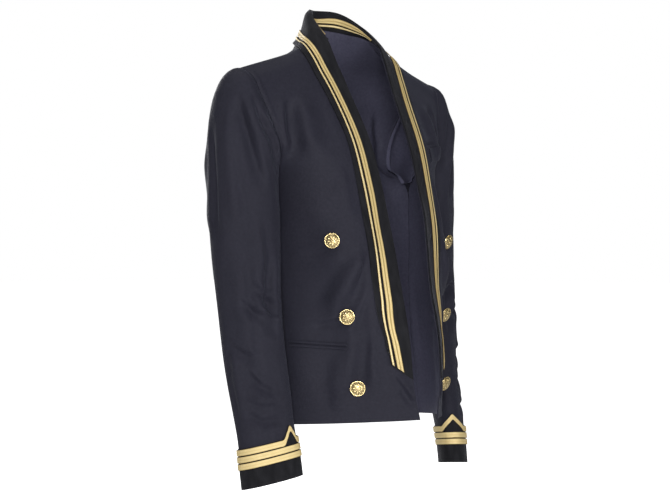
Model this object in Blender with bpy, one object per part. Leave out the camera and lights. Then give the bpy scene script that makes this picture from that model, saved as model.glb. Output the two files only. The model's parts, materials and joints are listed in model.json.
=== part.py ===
"""Double-breasted mess jacket, worn open and filled out, metres, +Z up, wearer facing -Y.

The wearer's left is +X. Height zero is the side neck point, so all of the coat but its
collar hangs below zero. A piece is drawn for the wearer's left and mirrored to the right.
Where the two sides hang differently, a table gives each side its own values.
"""

import itertools
import math
from collections import namedtuple

import bmesh
import bpy
import numpy as np

# Cloth walls and clearances
WOOL = 0.0020
VELVET = 0.0018
CUFF_VELVET = 0.0010
LACE = 0.0009
SEAM_GAP = 0.0003
LIE_GAP = 0.0008
CUFF_GAP = 0.0008
CUFF_OVERHANG = 0.0015

# Gold lace on the collar, and the velvet outside it where the leaf goes round the neck
NECK_MARGIN = 0.0082
NARROW_LACE = 0.0034
LACE_SPACE = 0.0032
WIDE_LACE = 0.0092

# Button from the cloth outwards: shank, back plate, turned rim, dome
BUTTON_RADIUS = 0.0112
BUTTON_SEGMENTS = 16
SHANK_RADIUS, SHANK_FOOT = 0.0023, 0.0004
PLATE_RADIUS, PLATE_HEIGHT = 0.0100, 0.0026
RIM_HEIGHT = 0.0038
DOME_RADIUS, DOME_FOOT, DOME_RISE = 0.0106, 0.0041, 0.0034
DOME_RINGS = 5

# Sleeve end: velvet cuff, three lace rings, the top one pointed
CUFF_TOP = 0.0552
RINGS = {"low": (0.0259, 0.0343), "middle": (0.0357, 0.0441), "top": (0.0455, 0.0539)}
CHEVRON_RISE = 0.0175
CHEVRON_HALF_WIDTH = {"right": math.radians(20), "left": math.radians(40)}
CHEVRON_TURN = {"right": 98.0, "left": 128.0}

# About how broad each panel is, for turning a seam's clearance into a share across it
FRONT_BREADTH, BACK_BREADTH, SLEEVE_BREADTH = 0.15, 0.20, 0.09

# Grid sizes
FRONT_ROWS, FRONT_COLUMNS = 22, 12
BACK_ROWS, NECK_COLUMNS, SHOULDER_COLUMNS = 19, 3, 7
SLEEVE_ROWS, SLEEVE_COLUMNS = 18, 8
SHAWL_ROWS, NECK_ROWS = 36, 10
CUFF_COLUMNS = 36
CAP_ROWS = 7
READING_STEPS = 400
NECK_BAND_ROWS = 10
JET_COLUMNS, WELT_COLUMNS = 8, 10
SHARP_ANGLE = math.radians(50)

# One half front, a row for each level from shoulder seam to hem. The section of a row
# leaves the opening edge at edge_turn degrees from +X with a pull of edge_pull, and comes
# into the armhole or side seam at side_turn with a pull of side_pull.
# Lift is how far the cloth climbs beside the neck above the straight line of the row.
FrontRow = namedtuple(
    "FrontRow",
    "edge_x edge_y edge_z edge_turn edge_pull side_x side_y side_z side_turn side_pull lift",
)
FRONT_TABLE = tuple(FrontRow(*row) for row in (
    (0.0545, -0.010, 0.012, 0, 0.048, 0.2005, 0.001, -0.0455, 0, 0.048, 0.016),
    (0.0550, -0.030, 0.001, 2, 0.046, 0.1980, -0.022, -0.0590, 4, 0.046, 0.009),
    (0.0535, -0.046, -0.029, 2, 0.045, 0.1920, -0.033, -0.0860, 14, 0.045, 0.003),
    (0.0485, -0.067, -0.073, 1, 0.050, 0.1810, -0.042, -0.1200, 30, 0.050, 0.0),
    (0.0425, -0.1035, -0.148, 3, 0.050, 0.1660, -0.046, -0.1660, 60, 0.050, 0.0),
    (0.0398, -0.1245, -0.214, 4, 0.060, 0.1480, -0.011, -0.2120, 90, 0.080, 0.0),
    (0.0398, -0.1375, -0.260, 4, 0.069, 0.1470, -0.012, -0.2600, 90, 0.090, 0.0),
    (0.0395, -0.1484, -0.300, 5, 0.072, 0.1455, -0.014, -0.3000, 90, 0.090, 0.0),
    (0.0385, -0.1617, -0.360, 12, 0.060, 0.1430, -0.016, -0.3600, 90, 0.076, 0.0),
    (0.0372, -0.1778, -0.435, 26, 0.055, 0.1440, -0.020, -0.4350, 90, 0.068, 0.0),
    (0.0325, -0.1823, -0.500, 33, 0.052, 0.1475, -0.027, -0.5000, 90, 0.060, 0.0),
    (0.0230, -0.1870, -0.551, 32, 0.056, 0.1500, -0.032, -0.5585, 90, 0.056, 0.0),
))
LIFT_FADE = 6
# At the waist the left front springs forward and its lapel turns sideways. A row for each
# level that differs: where the edge is, its turn and pull, and the pull at the side.
LEFT_EDGE = {
    -0.214: (0.0398, -0.1246, 10, 0.054, 0.085),
    -0.260: (0.0392, -0.1380, 26, 0.047, 0.112),
    -0.300: (0.0382, -0.1440, 33, 0.045, 0.128),
    -0.360: (0.0355, -0.1530, 33, 0.046, 0.112),
    -0.435: (0.0325, -0.1715, 32, 0.050, 0.080),
    -0.500: (0.0285, -0.1785, 33, 0.052, 0.066),
    -0.551: (0.0180, -0.1835, 32, 0.056, 0.056),
}
# Which way the cloth leaves its top edge, beside the neck and further out
FRONT_NECK_SLOPE, FRONT_SHOULDER_SLOPE = (0.0, -0.86, -0.50), (0.0, -0.99, -0.10)
NECK_SLOPE_SHARE = 0.3

# Half of the back below its neck and shoulder seam, from centre back to the side.
BackRow = namedtuple(
    "BackRow", "centre_y centre_z centre_pull side_x side_y side_z side_turn side_pull"
)
BACK_TABLE = tuple(BackRow(*row) for row in (
    (0.079, -0.018, 0.060, 0.1975, 0.026, -0.0600, -6, 0.050),
    (0.093, -0.065, 0.070, 0.1880, 0.048, -0.1020, -20, 0.050),
    (0.101, -0.120, 0.075, 0.1740, 0.056, -0.1500, -42, 0.050),
    (0.103, -0.170, 0.080, 0.1600, 0.036, -0.1900, -75, 0.045),
    (0.102, -0.214, 0.080, 0.1480, -0.011, -0.2120, -90, 0.062),
    (0.099, -0.260, 0.080, 0.1470, -0.012, -0.2600, -90, 0.062),
    (0.095, -0.300, 0.080, 0.1455, -0.014, -0.3000, -90, 0.062),
    (0.088, -0.360, 0.078, 0.1430, -0.016, -0.3600, -90, 0.060),
    (0.086, -0.435, 0.078, 0.1440, -0.020, -0.4350, -90, 0.060),
    (0.090, -0.500, 0.080, 0.1475, -0.027, -0.5000, -90, 0.066),
    (0.094, -0.5615, 0.080, 0.1500, -0.032, -0.5585, -90, 0.070),
))
BACK_NECK_SLOPE, BACK_SHOULDER_SLOPE = (0.0, 0.45, -0.89), (0.0, 0.99, -0.10)
# The row that reaches the underarm, counted from the shoulder seam, in front and in the back
UNDERARM_ROW = 5
# Back neck seam from centre back to the side neck point, and its share of the back's top edge
BACK_NECK = ((0.0, 0.0555, 0.0295), (0.0340, 0.0375, 0.0262), (0.0545, -0.0090, 0.0120))
BACK_NECK_SHARE = 0.30
SHOULDER_SEAM_SETBACK = 0.0010
# Share across beyond which a panel's side turns its corner at the underarm
UNDERARM_CORNER = 0.6

# Sleeve rings below the cap: height, centre, broad and narrow width, and how much the
# ring rises towards the front of the arm
SleeveRow = namedtuple("SleeveRow", "z x y broad narrow rise")
SLEEVE_TABLE = tuple(SleeveRow(*row) for row in (
    (-0.250, 0.1985, -0.003, 0.1060, 0.0810, 0.00),
    (-0.321, 0.1985, -0.009, 0.0990, 0.0740, 0.02),
    (-0.378, 0.1980, -0.014, 0.0930, 0.0680, 0.05),
    (-0.435, 0.1975, -0.021, 0.0900, 0.0630, 0.10),
    (-0.482, 0.1970, -0.029, 0.0880, 0.0580, 0.16),
    (-0.520, 0.1970, -0.038, 0.0850, 0.0530, 0.21),
    (-0.548, 0.1970, -0.044, 0.0825, 0.0490, 0.24),
    (-0.577, 0.1970, -0.050, 0.0810, 0.0450, 0.245),
    (-0.605, 0.1965, -0.055, 0.0835, 0.0425, 0.25),
    (-0.635, 0.1955, -0.059, 0.0840, 0.0420, 0.25),
))
# The hands differ: how much of that rise each sleeve has
RISE_SHARE = {"right": 1.0, "left": 0.40}
SLEEVE_BROAD_TURN = 45.0
# The cap from the armhole to the first ring: share of the whole sleeve, pull out and down,
# how much flatter it leaves in front, and the pull at the underarm
CAP_SHARE = 0.36
CAP_REACH, CAP_DROP = 0.13, 0.27
CAP_FLAT_FRONT = 0.35
CAP_LEAVES_OUT, CAP_LEAVES_OUT_MORE, CAP_LEAVES_FORWARD = 0.75, 0.25, 0.55
UNDERARM_DROP = 0.05
# Clearance of the sleeve from the armhole at the shoulder, and what the underarm adds
ARMHOLE_GAP, UNDERARM_GAP = 0.0005, 0.0012
BACK_SEAM_TURN, FRONT_SEAM_TURN = -34.0, 146.0

# Roll line of the shawl collar from centre back to the lapel's foot
ROLL_LINE = (
    (0.000, 0.048, 0.0555),
    (0.028, 0.031, 0.0535),
    (0.045, 0.008, 0.0380),
    (0.052, -0.012, 0.0210),
    (0.0545, -0.030, 0.0030),
)
# Outer edge of the leaf round the neck, for the same stations
LEAF_EDGE = (
    (0.000, 0.0745, 0.0010),
    (0.0420, 0.0520, 0.0040),
    (0.0760, 0.0140, -0.0050),
    (0.0935, -0.0110, -0.0100),
    (0.1000, -0.0240, -0.0175),
)
# How far the leaf has gone out (first) and down (second) along its width at the neck
LEAF_PROFILE = ((0.0, 0.0), (0.17, 0.06), (0.32, 0.24), (0.47, 0.55), (0.68, 0.81), (1.0, 1.0))
# Lapel lying on the front: height, width from the roll line along the cloth, and how much
# of it lies outside the lace
LapelRow = namedtuple("LapelRow", "height width margin")
LAPEL_TABLE = tuple(LapelRow(*row) for row in (
    (-0.012, 0.0505, 0.0084), (-0.045, 0.0468, 0.0086), (-0.090, 0.0432, 0.0080),
    (-0.148, 0.0406, 0.0062), (-0.185, 0.0414, 0.0068), (-0.236, 0.0436, 0.0086),
    (-0.285, 0.0466, 0.0094), (-0.340, 0.0452, 0.0092), (-0.390, 0.0430, 0.0080),
    (-0.423, 0.0420, 0.0062), (-0.450, 0.0364, 0.0036), (-0.492, 0.0295, 0.0010),
))
LAPEL_FOOT_INNER, LAPEL_FOOT_OUTER = -0.4935, -0.4725
# Share of the way down the lapel at which its lace is cut off
LACE_END = 0.995

# Lower edge of the inner neck band, for the roll line's stations
NECK_BAND_FOOT = (
    (0.000, 0.0522, 0.0290),
    (0.0333, 0.0355, 0.0260),
    (0.0485, 0.0090, 0.0198),
    (0.0533, -0.0120, 0.0135),
    (0.0528, -0.0290, 0.0020),
)
# Lines of the band from its top to its foot at each station, as shares; wide lace lies
# between the second and third, narrow lace between the fourth and fifth
NECK_BAND_LINES = (
    (0.04, 0.40, 0.63, 0.71, 0.81, 1.0),
    (0.04, 0.27, 0.58, 0.65, 0.77, 1.0),
    (0.04, 0.16, 0.58, 0.66, 0.78, 1.0),
    (0.04, 0.12, 0.46, 0.56, 0.72, 1.0),
    (0.04, 0.14, 0.46, 0.56, 0.72, 1.0),
)
NECK_BAND_LACE = {"wide": (1, 2), "narrow": (3, 4)}

# Places on the fronts: distance from the middle, height
BUTTONS = {"top": (0.123, -0.294), "middle": (0.106, -0.403), "low": (0.094, -0.505)}
# A shank button tips on its loose shank: how far its axis leans off the cloth's, and how
# far its foot is from the cloth for that
BUTTON_TILT = {"right": (0.0, 0.0, 0.0), "left": (-0.58, -0.36, -0.36)}
BUTTON_LOOSE = {"right": 0.0, "left": 0.0040}
# A pocket's ends: share across the front from its opening edge, and height.
# The heights of a strip are those of its lines above the cloth, from its upper edge.
HIP_POCKET = ((0.930, -0.4405), (0.475, -0.4455))
JET_WIDTH = 0.0048
JET_HEIGHTS = (0.0009, 0.0020, 0.0010)
CHEST_POCKET = ((0.800, -0.1480), (0.375, -0.1545))
WELT_WIDTH = 0.021
WELT_HEIGHTS = (0.0018, 0.0020, 0.0020, 0.0012)

# Broad folds pressed into the cloth, out (+) or in (-), from a start to an end.
# On the panels a place is distance from the middle and height, on the sleeve turn and height.
Fold = namedtuple("Fold", "start_across start_z end_across end_z depth half_width")
FRONT_FOLDS = tuple(Fold(*row) for row in (
    (0.150, -0.100, 0.152, -0.190, -0.0040, 0.016),
    (0.085, -0.250, 0.105, -0.400, 0.0035, 0.014),
    (0.060, -0.400, 0.078, -0.520, -0.0025, 0.012),
    (0.125, -0.330, 0.120, -0.500, -0.0025, 0.016),
))
BACK_FOLDS = tuple(Fold(*row) for row in (
    (0.120, -0.090, 0.135, -0.230, -0.0045, 0.020),
    (0.040, -0.330, 0.060, -0.540, 0.0040, 0.020),
    (0.110, -0.300, 0.100, -0.480, -0.0035, 0.018),
))
SLEEVE_FOLDS = tuple(Fold(*row) for row in (
    (100.0, -0.130, 125.0, -0.240, -0.0050, 16.0),
    (60.0, -0.330, 100.0, -0.400, -0.0030, 18.0),
    (-30.0, -0.160, -20.0, -0.300, -0.0030, 16.0),
    (20.0, -0.470, 70.0, -0.520, -0.0025, 20.0),
))
# How far a fold takes to fade in beyond and before its ends, as shares of its length
FOLD_OVERRUN, FOLD_FADE = 0.15, 0.4

NAVY, BLACK = (0.030, 0.031, 0.045), (0.008, 0.008, 0.010)
GOLD_THREAD, GILT = (0.72, 0.55, 0.26), (0.75, 0.55, 0.24)

MIRROR = np.array([-1.0, 1.0, 1.0])


def hermite(start, start_slope, end, end_slope, share):
    """Points between two ends whose slopes are given for the whole step."""
    square, cube = share**2, share**3
    return (
        (2 * cube - 3 * square + 1) * start
        + (cube - 2 * square + share) * start_slope
        + (3 * square - 2 * cube) * end
        + (cube - square) * end_slope
    )


def down_columns(knots, rows, down, first_slope=None, across=None):
    """Reads a stack of rows (row, sample, axis) at each sample's own share down.

    Given their places across, the samples near the side turn a corner at the underarm, so
    that the side seams of front and back are one line.
    """
    slopes = np.gradient(rows, knots, axis=0)
    if across is not None:
        corner = smooth_step((across - UNDERARM_CORNER) / (1 - UNDERARM_CORNER))[:, None]
        drop = rows[UNDERARM_ROW + 1] - rows[UNDERARM_ROW]
        drop = drop / (knots[UNDERARM_ROW + 1] - knots[UNDERARM_ROW])
        slopes[UNDERARM_ROW] += corner * (drop - slopes[UNDERARM_ROW])
    if first_slope is not None:
        length = np.linalg.norm(slopes[0], axis=-1, keepdims=True)
        slopes[0] = length * first_slope
    row = np.clip(np.searchsorted(knots, down, side="right") - 1, 0, len(knots) - 2)
    sample = np.arange(len(down))
    step = (knots[row + 1] - knots[row])[:, None]
    share = (down - knots[row])[:, None] / step
    return hermite(
        rows[row, sample], slopes[row, sample] * step,
        rows[row + 1, sample], slopes[row + 1, sample] * step, share,
    )


def through(knots, values, at):
    """A smooth curve through the rows of a table, read at many places."""
    at = np.atleast_1d(np.asarray(at, float))
    values = np.asarray(values, float)
    rows = np.repeat(values[:, None, :], len(at), axis=1)
    return down_columns(np.asarray(knots, float), rows, at)


def knots_of(points):
    """The share of the whole length at which each row of points lies."""
    steps = np.linalg.norm(np.diff(np.asarray(points, float), axis=0), axis=1)
    return np.concatenate([[0.0], np.cumsum(steps)]) / steps.sum()


def round_neck(stations, at):
    """Half a neckline from centre back, smooth across the middle, read at shares along it."""
    stations = np.array(stations)
    whole = np.concatenate([stations[1:2] * MIRROR, stations])
    knots = knots_of(whole)
    return through(knots, whole, knots[1] + (1 - knots[1]) * np.asarray(at, float))


def heading(degrees):
    turn = math.radians(degrees)
    return np.array([math.cos(turn), math.sin(turn), 0.0])


def section(start, start_turn, start_pull, end, end_turn, end_pull, share):
    """One row of a panel: a cubic curve between its ends, level or evenly sloping."""
    start, end = np.array(start), np.array(end)
    first = start + start_pull * heading(start_turn)
    second = end - end_pull * heading(end_turn)
    first[2] = start[2] + (end[2] - start[2]) / 3
    second[2] = start[2] + (end[2] - start[2]) * 2 / 3
    share = share[:, None]
    rest = 1 - share
    return (
        rest**3 * start + 3 * rest**2 * share * first
        + 3 * rest * share**2 * second + share**3 * end
    )


def smooth_step(value):
    value = np.clip(value, 0.0, 1.0)
    return value * value * (3 - 2 * value)


def unit(vectors):
    return vectors / np.linalg.norm(vectors, axis=-1, keepdims=True)


def fold_relief(folds, across, z, scale=1.0):
    """Height of the pressed folds at places across and up; scale turns across into metres."""
    height = np.zeros_like(across)
    for fold in folds:
        run_across = (fold.end_across - fold.start_across) * scale
        run_z = fold.end_z - fold.start_z
        length = math.hypot(run_across, run_z)
        from_start, above = (across - fold.start_across) * scale, z - fold.start_z
        along = (from_start * run_across + above * run_z) / length**2
        aside = (from_start * run_z - above * run_across) / length
        fade = smooth_step((along + FOLD_OVERRUN) / FOLD_FADE)
        fade = fade * smooth_step((1 + FOLD_OVERRUN - along) / FOLD_FADE)
        height += fold.depth * fade * np.exp(-((aside / fold.half_width) ** 2))
    return height


class Cloth:
    """A cloth surface, read by a place across it, a place down it and a distance out."""

    STEP = 1e-4

    def __init__(self, base, facing, relief, span=1.0):
        self.base, self.facing, self.relief, self.span = base, facing, relief, span

    def normal(self, across, down):
        step = self.STEP * self.span
        after, before = down + self.STEP, np.maximum(down - self.STEP, 0.0)
        along = self.base(across + step, down) - self.base(across - step, down)
        below = self.base(across, after) - self.base(across, before)
        return unit(np.cross(along, below)) * self.facing

    def at(self, across, down, out=0.0):
        across, down = np.broadcast_arrays(
            np.asarray(across, float), np.asarray(down, float)
        )
        shape = across.shape
        across, down = across.ravel(), down.ravel()
        points = self.base(across, down)
        height = self.relief(across, down, points) + np.broadcast_to(out, shape).ravel()
        points = points + self.normal(across, down) * height[:, None]
        return points.reshape(shape + (3,))


FRONT_KNOT_PLACES = [
    (row.edge_x, row.edge_y, row.edge_z, row.side_x, row.side_y, row.side_z)
    for row in FRONT_TABLE
]
FRONT_KNOTS = knots_of(FRONT_KNOT_PLACES)


def front_row(row, share):
    edge = (row.edge_x, row.edge_y, row.edge_z - row.lift)
    side = (row.side_x, row.side_y, row.side_z)
    points = section(
        edge, row.edge_turn, row.edge_pull, side, row.side_turn, row.side_pull, share
    )
    points[:, 2] += row.lift * np.clip(1 - share, 0.0, None) ** LIFT_FADE
    return points


def front_table(side):
    if side == "right":
        return FRONT_TABLE
    table = []
    for row in FRONT_TABLE:
        if row.edge_z in LEFT_EDGE:
            x, y, turn, pull, side_pull = LEFT_EDGE[row.edge_z]
            row = row._replace(
                edge_x=x, edge_y=y, edge_turn=turn, edge_pull=pull, side_pull=side_pull
            )
        table.append(row)
    return tuple(table)


def front_base(across, down, table=FRONT_TABLE):
    rows = np.array([front_row(row, across) for row in table])
    beside_neck = (1 - smooth_step(across / NECK_SLOPE_SHARE))[:, None]
    slope = unit(
        beside_neck * np.array(FRONT_NECK_SLOPE)
        + (1 - beside_neck) * np.array(FRONT_SHOULDER_SLOPE)
    )
    return down_columns(FRONT_KNOTS, rows, down, slope, across)


def front_relief(_across, _down, points):
    return fold_relief(FRONT_FOLDS, points[:, 0], points[:, 2])


def front_cloth(side):
    table = front_table(side)

    def base(across, down):
        return front_base(across, down, table)

    return Cloth(base, -1.0, front_relief)


FRONTS = {side: front_cloth(side) for side in ("left", "right")}


def back_top(across):
    """Top edge of the back: the neck seam, and the shoulder seam beside the front's."""
    neck = round_neck(BACK_NECK, np.clip(across / BACK_NECK_SHARE, -0.1, 1.0))
    share = np.clip((across - BACK_NECK_SHARE) / (1 - BACK_NECK_SHARE), 0.0, 1.1)
    shoulder = front_row(FRONT_TABLE[0], share) + np.array([0.0, SHOULDER_SEAM_SETBACK, 0.0])
    return np.where((across < BACK_NECK_SHARE)[:, None], neck, shoulder)


def back_row(row, share):
    centre = (0.0, row.centre_y, row.centre_z)
    side = (row.side_x, row.side_y, row.side_z)
    return section(centre, 0.0, row.centre_pull, side, row.side_turn, row.side_pull, share)


BACK_TOP_ENDS = BACK_NECK[0] + FRONT_KNOT_PLACES[0][3:]
BACK_KNOTS = knots_of([BACK_TOP_ENDS] + [
    (0.0, row.centre_y, row.centre_z, row.side_x, row.side_y, row.side_z)
    for row in BACK_TABLE
])


def back_base(across, down):
    rows = np.array([back_top(across)] + [back_row(row, across) for row in BACK_TABLE])
    neck = (1 - smooth_step(across / BACK_NECK_SHARE))[:, None]
    slope = unit(
        neck * np.array(BACK_NECK_SLOPE) + (1 - neck) * np.array(BACK_SHOULDER_SLOPE)
    )
    return down_columns(BACK_KNOTS, rows, down, slope, across)


def back_relief(_across, _down, points):
    return fold_relief(BACK_FOLDS, points[:, 0], points[:, 2])


BACK = Cloth(back_base, 1.0, back_relief)

SLEEVE_HEIGHTS = np.array([row.z for row in SLEEVE_TABLE])
SLEEVE_KNOTS = (SLEEVE_HEIGHTS[0] - SLEEVE_HEIGHTS) / (SLEEVE_HEIGHTS[0] - SLEEVE_HEIGHTS[-1])


def armhole(turn):
    """The armhole's edge: 0 at the shoulder, 90 in front, 180 underarm, -90 behind."""
    share = np.abs(turn) / 180
    side = np.ones_like(share)
    front = FRONTS["right"].at(side, share * FRONT_KNOTS[UNDERARM_ROW])
    back = BACK.at(side, share * BACK_KNOTS[UNDERARM_ROW])
    points = np.where((turn >= 0)[:, None], front, back)
    clear = ARMHOLE_GAP + UNDERARM_GAP * (1 - np.cos(np.radians(turn))) / 2
    return points + clear[:, None] * np.array([1.0, 0.0, 0.0])


def sleeve_ring(row, turn, rise_share):
    back_out = heading(SLEEVE_BROAD_TURN)
    front_out = heading(SLEEVE_BROAD_TURN - 90)
    phase = np.radians(turn + SLEEVE_BROAD_TURN)
    reach = (row.broad / 2 * np.cos(phase))[:, None]
    aside = (row.narrow / 2 * np.sin(phase))[:, None]
    points = np.array([row.x, row.y, row.z]) + reach * back_out + aside * front_out
    points[:, 2] -= rise_share * row.rise * reach[:, 0]
    return points


def sleeve_base(turn, down, rise_share):
    turn = (turn + 180) % 360 - 180
    rings = np.array([sleeve_ring(row, turn, rise_share) for row in SLEEVE_TABLE])
    past_cap = np.maximum((down - CAP_SHARE) / (1 - CAP_SHARE), 0)
    below = down_columns(SLEEVE_KNOTS, rings, past_cap)
    angle = np.radians(turn)
    upper = ((1 + np.cos(angle)) / 2)[:, None]
    flat_front = CAP_FLAT_FRONT * np.clip(np.sin(angle), 0, 1)
    sideways = CAP_LEAVES_OUT + CAP_LEAVES_OUT_MORE * np.cos(angle) - flat_front
    out = np.stack([sideways, -CAP_LEAVES_FORWARD * np.sin(angle), 0 * angle], axis=-1)
    fall = np.array([0.0, 0.0, -1.0])
    cap = hermite(
        armhole(turn), CAP_REACH * upper * out + UNDERARM_DROP * (1 - upper) * fall,
        rings[0], (CAP_DROP * upper + UNDERARM_DROP * (1 - upper)) * fall,
        np.clip(down / CAP_SHARE, 0, 1)[:, None],
    )
    return np.where((down < CAP_SHARE)[:, None], cap, below)


def sleeve_relief(turn, _down, points):
    wrapped = (turn + 180) % 360 - 180
    degree = math.radians(1) * SLEEVE_TABLE[0].broad / 2
    folds = [fold._replace(half_width=fold.half_width * degree) for fold in SLEEVE_FOLDS]
    return fold_relief(folds, wrapped, points[:, 2], degree)


def sleeve_cloth(side):
    def base(turn, down):
        return sleeve_base(turn, down, RISE_SHARE[side])

    return Cloth(base, 1.0, sleeve_relief, span=90.0)


SLEEVES = {side: sleeve_cloth(side) for side in RISE_SHARE}


def sleeve_end(distance):
    """Share down the sleeve at a distance up from its end."""
    height = SLEEVE_HEIGHTS[-1] + np.asarray(distance, float)
    share = (SLEEVE_HEIGHTS[0] - height) / (SLEEVE_HEIGHTS[0] - SLEEVE_HEIGHTS[-1])
    return CAP_SHARE + (1 - CAP_SHARE) * share


# ---- Solids ----


def grid_normals(grid):
    along = np.gradient(grid, axis=0)
    across = np.gradient(grid, axis=1)
    return unit(np.cross(across, along))


def wall_faces(rows, columns, joined):
    """Faces of a wall whose outer points come first and inner points second."""
    faces = []
    inner = rows * columns

    def at(row, column):
        return row * columns + column % columns

    last = columns if joined else columns - 1
    for row in range(rows - 1):
        for column in range(last):
            a, b = at(row, column), at(row, column + 1)
            c, d = at(row + 1, column + 1), at(row + 1, column)
            faces.append((a, b, c, d))
            faces.append((inner + d, inner + c, inner + b, inner + a))
    for column in range(last):
        a, b = at(0, column), at(0, column + 1)
        faces.append((b, a, inner + a, inner + b))
        a, b = at(rows - 1, column), at(rows - 1, column + 1)
        faces.append((a, b, inner + b, inner + a))
    if not joined:
        for row in range(rows - 1):
            a, b = at(row, 0), at(row + 1, 0)
            faces.append((a, b, inner + b, inner + a))
            a, b = at(row, columns - 1), at(row + 1, columns - 1)
            faces.append((b, a, inner + a, inner + b))
    return faces


def add_piece(name, points, faces, material):
    mesh = bpy.data.meshes.new(name)
    mesh.from_pydata([tuple(point) for point in points], [], faces)
    solid = bmesh.new()
    solid.from_mesh(mesh)
    bmesh.ops.recalc_face_normals(solid, faces=solid.faces)
    if solid.calc_volume(signed=True) < 0:
        bmesh.ops.reverse_faces(solid, faces=solid.faces)
    solid.to_mesh(mesh)
    solid.free()
    mesh.shade_smooth()
    mesh.set_sharp_from_angle(angle=SHARP_ANGLE)
    mesh.materials.append(material)
    piece = bpy.data.objects.new(name, mesh)
    bpy.context.scene.collection.objects.link(piece)
    return piece


def add_wall(name, outer, inner, material, side="left", joined=False):
    """A cloth wall between two grids, drawn for the wearer's left or mirrored to the right."""
    rows, columns = outer.shape[:2]
    points = np.concatenate([outer.reshape(-1, 3), inner.reshape(-1, 3)])
    if side == "right":
        points = points * MIRROR
    return add_piece(name, points, wall_faces(rows, columns, joined), material)


def finish(name, colour, roughness, metallic=0.0):
    material = bpy.data.materials.new(name)
    material.use_nodes = True
    shader = material.node_tree.nodes["Principled BSDF"]
    shader.inputs["Base Color"].default_value = (*colour, 1.0)
    shader.inputs["Roughness"].default_value = roughness
    shader.inputs["Metallic"].default_value = metallic
    return material


def panel_wall(name, cloth, across, down, material, side="left", thickness=WOOL):
    across, down = np.meshgrid(across, down)
    outer = cloth.at(across, down)
    inner = cloth.at(across, down, -thickness)
    return add_wall(name, outer, inner, material, side)


def add_fronts(wool):
    seam = SEAM_GAP / 2 / FRONT_BREADTH
    across = np.linspace(0.0, 1.0 - seam, FRONT_COLUMNS + 1)
    down = np.linspace(0.0, 1.0, FRONT_ROWS + 1)
    for side in ("left", "right"):
        panel_wall(f"front_{side}", FRONTS[side], across, down, wool, side)


def add_back(wool):
    seam = SEAM_GAP / 2 / BACK_BREADTH
    half = np.concatenate([
        np.linspace(0.0, BACK_NECK_SHARE, NECK_COLUMNS + 1)[:-1],
        np.linspace(BACK_NECK_SHARE, 1.0 - seam, SHOULDER_COLUMNS + 1),
    ])
    down = np.linspace(0.0, 1.0, BACK_ROWS + 1)
    down = np.insert(down, 1, down[1] / 2)
    across, down = np.meshgrid(half, down)
    walls = []
    for out in (0.0, -WOOL):
        left = BACK.at(across, down, out)
        left[:, 0, 0] = 0.0
        walls.append(np.concatenate([left[:, :0:-1] * MIRROR, left], axis=1))
    add_wall("back", walls[0], walls[1], wool)


def add_sleeves(wool):
    seam = math.degrees(SEAM_GAP / SLEEVE_BREADTH)
    down = np.concatenate([
        np.linspace(0.0, CAP_SHARE, CAP_ROWS + 1)[:-1],
        np.linspace(CAP_SHARE, 1.0, SLEEVE_ROWS - CAP_ROWS + 1),
    ])
    top = np.linspace(BACK_SEAM_TURN + seam, FRONT_SEAM_TURN - seam, SLEEVE_COLUMNS + 1)
    under = np.linspace(
        FRONT_SEAM_TURN + seam, BACK_SEAM_TURN + 360 - seam, SLEEVE_COLUMNS + 1
    )
    for side in ("left", "right"):
        panel_wall(f"sleeve_top_{side}", SLEEVES[side], top, down, wool, side)
        panel_wall(f"sleeve_under_{side}", SLEEVES[side], under, down, wool, side)


def cuff_edge(turn, distance, side, pointed):
    """Height of a ring's edge above the sleeve's end, with the point where it has one."""
    away = (turn - CHEVRON_TURN[side] + 180) % 360 - 180
    rise = np.clip(1 - np.abs(np.radians(away)) / CHEVRON_HALF_WIDTH[side], 0.0, 1.0)
    return distance + pointed * CHEVRON_RISE * rise


def add_cuff_tube(name, low, high, under, thickness, material, side, rows=2):
    """A tube round the sleeve's end between two edges, each (distance up, pointed or not)."""
    turn = np.linspace(-180.0, 180.0, CUFF_COLUMNS, endpoint=False)
    turn = turn + (CHEVRON_TURN[side] % (360 / CUFF_COLUMNS))
    low_edge = cuff_edge(turn, low[0], side, low[1])
    high_edge = cuff_edge(turn, high[0], side, high[1])
    steps = np.linspace(0.0, 1.0, rows)[:, None]
    distance = high_edge + (low_edge - high_edge) * steps
    turn = np.broadcast_to(turn, distance.shape)
    down = sleeve_end(distance)
    outer = SLEEVES[side].at(turn, down, under + thickness)
    inner = SLEEVES[side].at(turn, down, under)
    add_wall(name, outer, inner, material, side, joined=True)


def add_cuffs(velvet, lace):
    for side in ("left", "right"):
        add_cuff_tube(
            f"cuff_{side}", (-CUFF_OVERHANG, 0), (CUFF_TOP, 1), CUFF_GAP, CUFF_VELVET, velvet,
            side, rows=4,
        )
        for place, (low, high) in RINGS.items():
            point = 1 if place == "top" else 0
            add_cuff_tube(
                f"cuff_lace_{place}_{side}", (low, point), (high, point),
                CUFF_GAP + CUFF_VELVET + LIE_GAP, LACE, lace, side,
            )


# ---- Shawl collar ----

LACE_LINES = np.cumsum([0.0, NARROW_LACE, LACE_SPACE, WIDE_LACE / 2, WIDE_LACE / 2])
LEAF_FIELD_COLUMNS = 4
NARROW_COLUMNS, WIDE_COLUMNS = (1, 2), (3, 5)


def leaf_shares(width, margin):
    """Shares from the roll line to the outer edge, with a line at each edge of the lace."""
    lace = np.append(0.0, margin + LACE_LINES)
    field = np.linspace(lace[-1], width, LEAF_FIELD_COLUMNS + 1)[1:]
    return (1 - np.append(lace, field) / width)[::-1]


def front_down(height):
    """Share down the front at which its opening edge has this height."""
    down = np.linspace(0.0, 1.0, READING_STEPS)
    heights = through(FRONT_KNOTS, [[row.edge_z] for row in FRONT_TABLE], down)
    return np.interp(-np.asarray(height), -heights[:, 0], down)


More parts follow.
